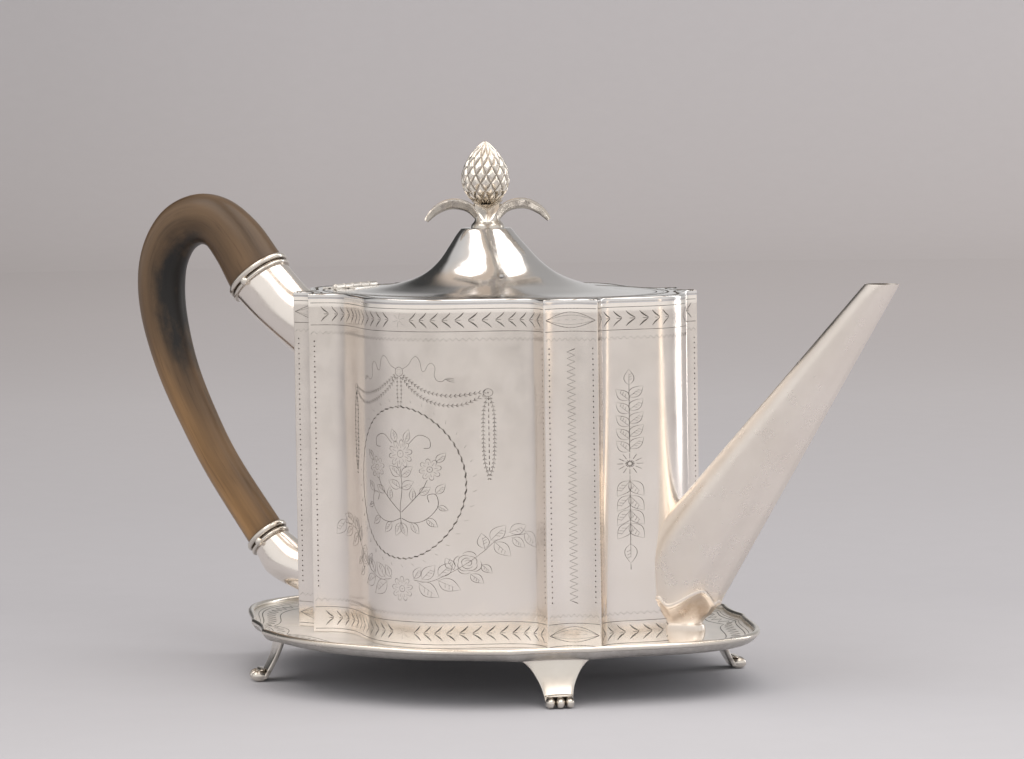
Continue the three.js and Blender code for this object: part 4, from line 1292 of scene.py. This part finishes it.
for name, sign in (("front", -1), ("back", 1)):
    cut = Engraving(on_wall(side_place(sign)))
    for low, high, fringe in (BAND_TOP, BAND_LOW):
        band(cut, 46.8, 0.5, low, high, fringe)
    dotted(cut, 45.9)
    front_garlands(cut, 0.4)
    cut.finish(f"engraving_{name}", "teapot")
for name, sign in (("spout_end", 1), ("handle_end", -1)):
    cut = Engraving(on_wall(end_place(sign)))
    for low, high, fringe in (BAND_TOP, BAND_LOW):
        band(cut, 28.8, 0.0, low, high, fringe)
    dotted(cut, 28.2)
    for u in (-16.3, 16.3):
        end_drop(cut, u)
    cut.finish(f"engraving_{name}", "teapot")
for name, sign_x, sign_y in (
    ("front_right", 1, -1), ("front_left", -1, -1), ("back_right", 1, 1), ("back_left", -1, 1)
):
    cut = Engraving(on_wall(pilaster_place(sign_x, sign_y)))
    width = math.hypot(POT["end"][0] - POT["side"][0], POT["end"][1] - POT["side"][1])
    for low, high, fringe in (BAND_TOP, BAND_LOW):
        cut.line(0.4, width - 0.4, low)
        cut.line(0.4, width - 0.4, high)
        cut.zigzag((0.6, fringe), (width - 0.6, fringe))
        middle = (low + high) / 2
        u = np.linspace(0.7, width - 0.7, 24)
        for rise in (-1, 1):
            for size, weight in ((2.5, 0.42), (1.5, 0.22)):
                cut.stroke(np.stack([u, middle + rise * size * np.sin(np.pi * (u - 0.7) / (width - 1.4))], 1), weight)
        for spot in (-3.6, -1.2, 1.2, 3.6):
            cut.stroke([(width / 2 + spot - 0.7, middle), (width / 2 + spot + 0.7, middle)], 0.42, True)
    cut.zigzag((width / 2, 30.4), (width / 2, 112.4), 2.1, 1.3, 0.3)
    for z in np.arange(31, 114, 1.7):
        for u in (1.6, width - 1.6):
            cut.dot(u, z)
    cut.finish(f"engraving_pilaster_{name}", "teapot")


def on_outline(plan_at, height_at, length):
    """Border coordinates to surface: u is millimetres round the outline, and v millimetres across the border."""

    def put(points, off):
        points = np.asarray(points, float)
        place = (points[:, 0] / length % 1.0) * len(POT_LINE)
        i = place.astype(int) % len(POT_LINE)
        f = (place - np.floor(place))[:, None]
        rows = np.stack([plan_at(v) for v in points[:, 1]])
        k = np.arange(len(points))
        flat = rows[k, i] * (1 - f) + rows[k, (i + 1) % len(POT_LINE)] * f
        return np.column_stack([flat, height_at(points[:, 1]) + off])

    return put


def loop_line(cut, length, v, weight, count=424):
    u = np.linspace(0, length, count + 1)
    cut.stroke(np.stack([u, np.full(len(u), float(v))], 1), weight)


def border_zigzag(cut, length, low, high, count, weight=0.22):
    u = np.linspace(0, length, 2 * count + 1)
    cut.stroke(np.stack([u, np.where(np.arange(len(u)) % 2, high, low)], 1), weight)


DISH_LENGTH, DISH_WIDTH = 500.0, 18.0
dish_line = through(DISH_TOP, 60)
cut = Engraving(
    on_outline(
        lambda v: between(v / DISH_WIDTH),
        lambda v: np.interp(v / DISH_WIDTH, dish_line[:, 0], dish_line[:, 1]) + 0.02,
        DISH_LENGTH,
    )
)
for v, weight in ((9.4, 0.42), (14.2, 0.42), (15.2, 0.26)):
    loop_line(cut, DISH_LENGTH, v, weight)
border_zigzag(cut, DISH_LENGTH, 10.6, 13.0, 118, 0.34)
cut.finish("engraving_stand", "stand")
DECK_LENGTH = 430.0
cut = Engraving(on_outline(lambda v: grown(POT_LINE, -v), lambda v: DECK_TOP + 0 * v, DECK_LENGTH))
loop_line(cut, DECK_LENGTH, 1.5, 0.3)
border_zigzag(cut, DECK_LENGTH, 2.0, 3.0, 190, 0.2)
angle = np.linspace(-math.pi + 0.34, math.pi - 0.34, 181)
cut.put = lambda points, off: np.column_stack([np.asarray(points, float), np.full(len(points), DECK_TOP + off)])
cut.stroke(oval_at((62.2, 40.2), angle), 0.3)
swing = np.where(np.arange(181) % 2, 0.5, -0.5)[:, None]
cut.stroke(oval_at((63.6, 41.6), angle) * (1 + swing * 0.014), 0.22)
cut.finish("engraving_deck", "teapot")


# ---------- camera ----------
def unit(vector):
    vector = np.asarray(vector, float)
    return vector / np.linalg.norm(vector)


def make_camera():
    azimuth, yaw = math.radians(35.425), math.radians(-0.233)
    pitch_down, roll = math.radians(4.363), math.radians(-0.802)
    distance, height = 1414.5, 206.5
    place = np.array([distance * math.sin(azimuth), -distance * math.cos(azimuth), height])
    heading = azimuth + yaw
    level = np.array([-math.sin(heading), math.cos(heading), 0])
    right = np.array([math.cos(heading), math.sin(heading), 0])
    up = np.array([0, 0, math.cos(pitch_down)]) + level * math.sin(pitch_down)
    ahead = level * math.cos(pitch_down) - np.array([0, 0, math.sin(pitch_down)])
    rolled = right * math.cos(roll) + up * math.sin(roll)
    top = -right * math.sin(roll) + up * math.cos(roll)
    data = bpy.data.cameras.new("camera")
    data.lens = 149.9
    data.sensor_width = 36.0
    data.clip_start, data.clip_end = 0.05, 50
    camera = bpy.data.objects.new("camera", data)
    matrix = Matrix([[*row, p * MM] for row, p in zip(np.stack([rolled, top, -ahead], 1), place)] + [[0, 0, 0, 1]])
    camera.matrix_world = matrix
    bpy.context.scene.collection.objects.link(camera)
    bpy.context.scene.camera = camera


make_camera()


# ---------- floor, backdrop and light ----------
TOWARDS = unit([math.sin(math.radians(35.4)), -math.cos(math.radians(35.4)), 0])
RIGHT = unit([math.cos(math.radians(35.4)), math.sin(math.radians(35.4)), 0])


def paper(name):
    """Plain paper with painted shade: shaded front to back, darker to the left, and darker still off to the back
    left.
    """
    material, tree, shader = new_material(name)
    shader.inputs["Roughness"].default_value = 0.9
    shader.inputs["Specular IOR Level"].default_value = 0.1
    place = tree.nodes.new("ShaderNodeTexCoord")

    def reach(axis, low, high):
        dot = tree.nodes.new("ShaderNodeVectorMath")
        dot.operation = "DOT_PRODUCT"
        dot.inputs[1].default_value = axis
        link(tree, place.outputs["Object"], dot.inputs[0])
        return spread(tree, dot.outputs["Value"], low, high, 0.0, 1.0)

    # Painted shade front to back: darkest just behind the pot, lighter towards the backdrop and in front of the pot,
    # darker again far in front.
    depth = ramp(
        tree,
        reach(TOWARDS, -2.0, 2.0),
        [
            (0.0, (0.66, 0.668, 0.715)),
            (0.22, (0.61, 0.621, 0.666)),
            (0.36, (0.51, 0.517, 0.554)),
            (0.45, (0.475, 0.481, 0.516)),
            (0.52, (0.53, 0.538, 0.575)),
            (0.60, (0.58, 0.59, 0.623)),
            (0.70, (0.58, 0.59, 0.613)),
            (0.78, (0.46, 0.466, 0.484)),
            (1.0, (0.46, 0.466, 0.484)),
        ],
    )
    # Painted shade from side to side: darker to the left, lighter to the right.
    left = ramp(tree, reach(RIGHT, -0.9, 0.9), [(0.0, (0.86, 0.86, 0.86)), (0.5, (0.97, 0.97, 0.97)), (1.0, (1.08, 1.08, 1.08))])
    tone = mix(tree, 1.0, depth.outputs["Color"], left.outputs["Color"], "MULTIPLY")
    # Painted shade off to the back left, laid on the left side only.
    corner = ramp(
        tree, reach(unit(-TOWARDS * 0.75 - RIGHT * 0.66), 0.45, 0.95), [(0.0, (1, 1, 1)), (1.0, (0.93, 0.93, 0.93))]
    )
    beside = ramp(tree, reach(RIGHT, -0.5, -0.2), [(0.0, (1, 1, 1)), (1.0, (0, 0, 0))])
    tone = mix(tree, beside.outputs["Color"], tone, mix(tree, 1.0, tone, corner.outputs["Color"], "MULTIPLY"))
    fibre = noise(tree, 60.0, 4.0)
    fine = ramp(tree, fibre.outputs["Fac"], [(0.3, (0.985, 0.985, 0.985)), (0.7, (1.0, 1.0, 1.0))])
    link(tree, mix(tree, 1.0, tone, fine.outputs["Color"], "MULTIPLY"), shader.inputs["Base Color"])
    return material


def stage_mesh(name, rings, material, closed_centre):
    verts, faces = skin(rings, "open")
    faces = [face[::-1] for face in faces]
    if closed_centre:
        verts.append((0, 0, rings[0][0][2]))
        cols = len(rings[0])
        faces += [(j, (j + 1) % cols, len(verts) - 1) for j in range(cols)]
    mesh = mesh_of(name, verts, faces, outward=False)
    mesh.materials.append(material)
    mesh.polygons.foreach_set("use_smooth", [True] * len(mesh.polygons))
    thing = bpy.data.objects.new(name, mesh)
    bpy.context.scene.collection.objects.link(thing)
    return thing


PAPER = paper("paper")
floor = stage_mesh("floor", lathe([(r, -0.02) for r in (300, 900, 1800, 2800)], 96), PAPER, True)
sweep = [(2800 + 900 * math.sin(a), 900 - 900.02 * math.cos(a)) for a in np.linspace(0, math.pi / 2, 16)]
backdrop = stage_mesh("backdrop", lathe([*sweep, (3700, 4200)], 96), PAPER, False)
backdrop.visible_glossy = False
backdrop.visible_diffuse = False
backdrop.visible_shadow = False


def make_world():
    """Soft studio surroundings: pale round the front, greyer behind, dim high up at the back left."""
    world = bpy.data.worlds.new("studio")
    world.use_nodes = True
    tree = world.node_tree
    back = tree.nodes["Background"]
    direction = tree.nodes.new("ShaderNodeTexCoord").outputs["Generated"]

    def along(axis, low, high):
        dot = tree.nodes.new("ShaderNodeVectorMath")
        dot.operation = "DOT_PRODUCT"
        dot.inputs[1].default_value = axis
        link(tree, direction, dot.inputs[0])
        node = tree.nodes.new("ShaderNodeMapRange")
        node.interpolation_type = "SMOOTHSTEP"
        node.inputs["From Min"].default_value = low
        node.inputs["From Max"].default_value = high
        link(tree, dot.outputs["Value"], node.inputs["Value"])
        return node.outputs["Result"]

    front = along(TOWARDS, -0.45, 0.35)
    tone = mix(tree, front, (0.63, 0.62, 0.615), (0.87, 0.85, 0.84))
    dim = along(unit(-TOWARDS * 0.90 - RIGHT * 0.46 + np.array([0, 0, 0.36])), 0.87, 0.96)
    tone = mix(tree, dim, tone, (0.05, 0.05, 0.05))
    high = along(np.array([0, 0, 1.0]), 0.5, 0.75)
    tone = mix(tree, high, tone, (0.66, 0.55, 0.46))
    rear = along(unit(-TOWARDS * 0.75 + RIGHT * 0.45 + np.array([0, 0, 0.62])), 0.8, 0.95)
    tone = mix(tree, rear, tone, (0.42, 0.41, 0.405))
    link(tree, tone, back.inputs["Color"])
    back.inputs["Strength"].default_value = 1.0
    bpy.context.scene.world = world


make_world()


def area_light(name, place, aim, size, power, colour=(1.0, 0.99, 0.985)):
    data = bpy.data.lights.new(name, "AREA")
    data.shape = "RECTANGLE"
    data.size, data.size_y = size
    data.energy = power
    data.color = colour
    light = bpy.data.objects.new(name, data)
    place, aim = np.asarray(place, float), np.asarray(aim, float)
    light.location = place * MM
    look = unit(aim - place)
    side_way = unit(np.cross(look, [0, 0, 1.0]) if abs(look[2]) < 0.99 else RIGHT)
    up_way = np.cross(side_way, look)
    light.matrix_world = Matrix(
        [[*row, p * MM] for row, p in zip(np.stack([side_way, up_way, -look], 1), place)] + [[0, 0, 0, 1]]
    )
    bpy.context.scene.collection.objects.link(light)


UP = np.array([0, 0, 1.0])
MIDDLE = np.array([0, 0, 120.0])
area_light("top_left", UP * 1250 - RIGHT * 905 + TOWARDS * 450, UP * -50 - RIGHT * 905 + TOWARDS * 450, (0.79, 1.7), 7.2)
area_light("top_right", UP * 1250 + RIGHT * 375 + TOWARDS * 450, UP * -50 + RIGHT * 375 + TOWARDS * 450, (1.15, 1.7), 10.5)
card = RIGHT * math.sin(math.radians(112)) + TOWARDS * math.cos(math.radians(112))
area_light("card_right", card * 900 + UP * 550, UP * 550, (0.14, 1.1), 1.5)

scene = bpy.context.scene
scene.view_settings.view_transform = "Standard"
scene.view_settings.look = "None"
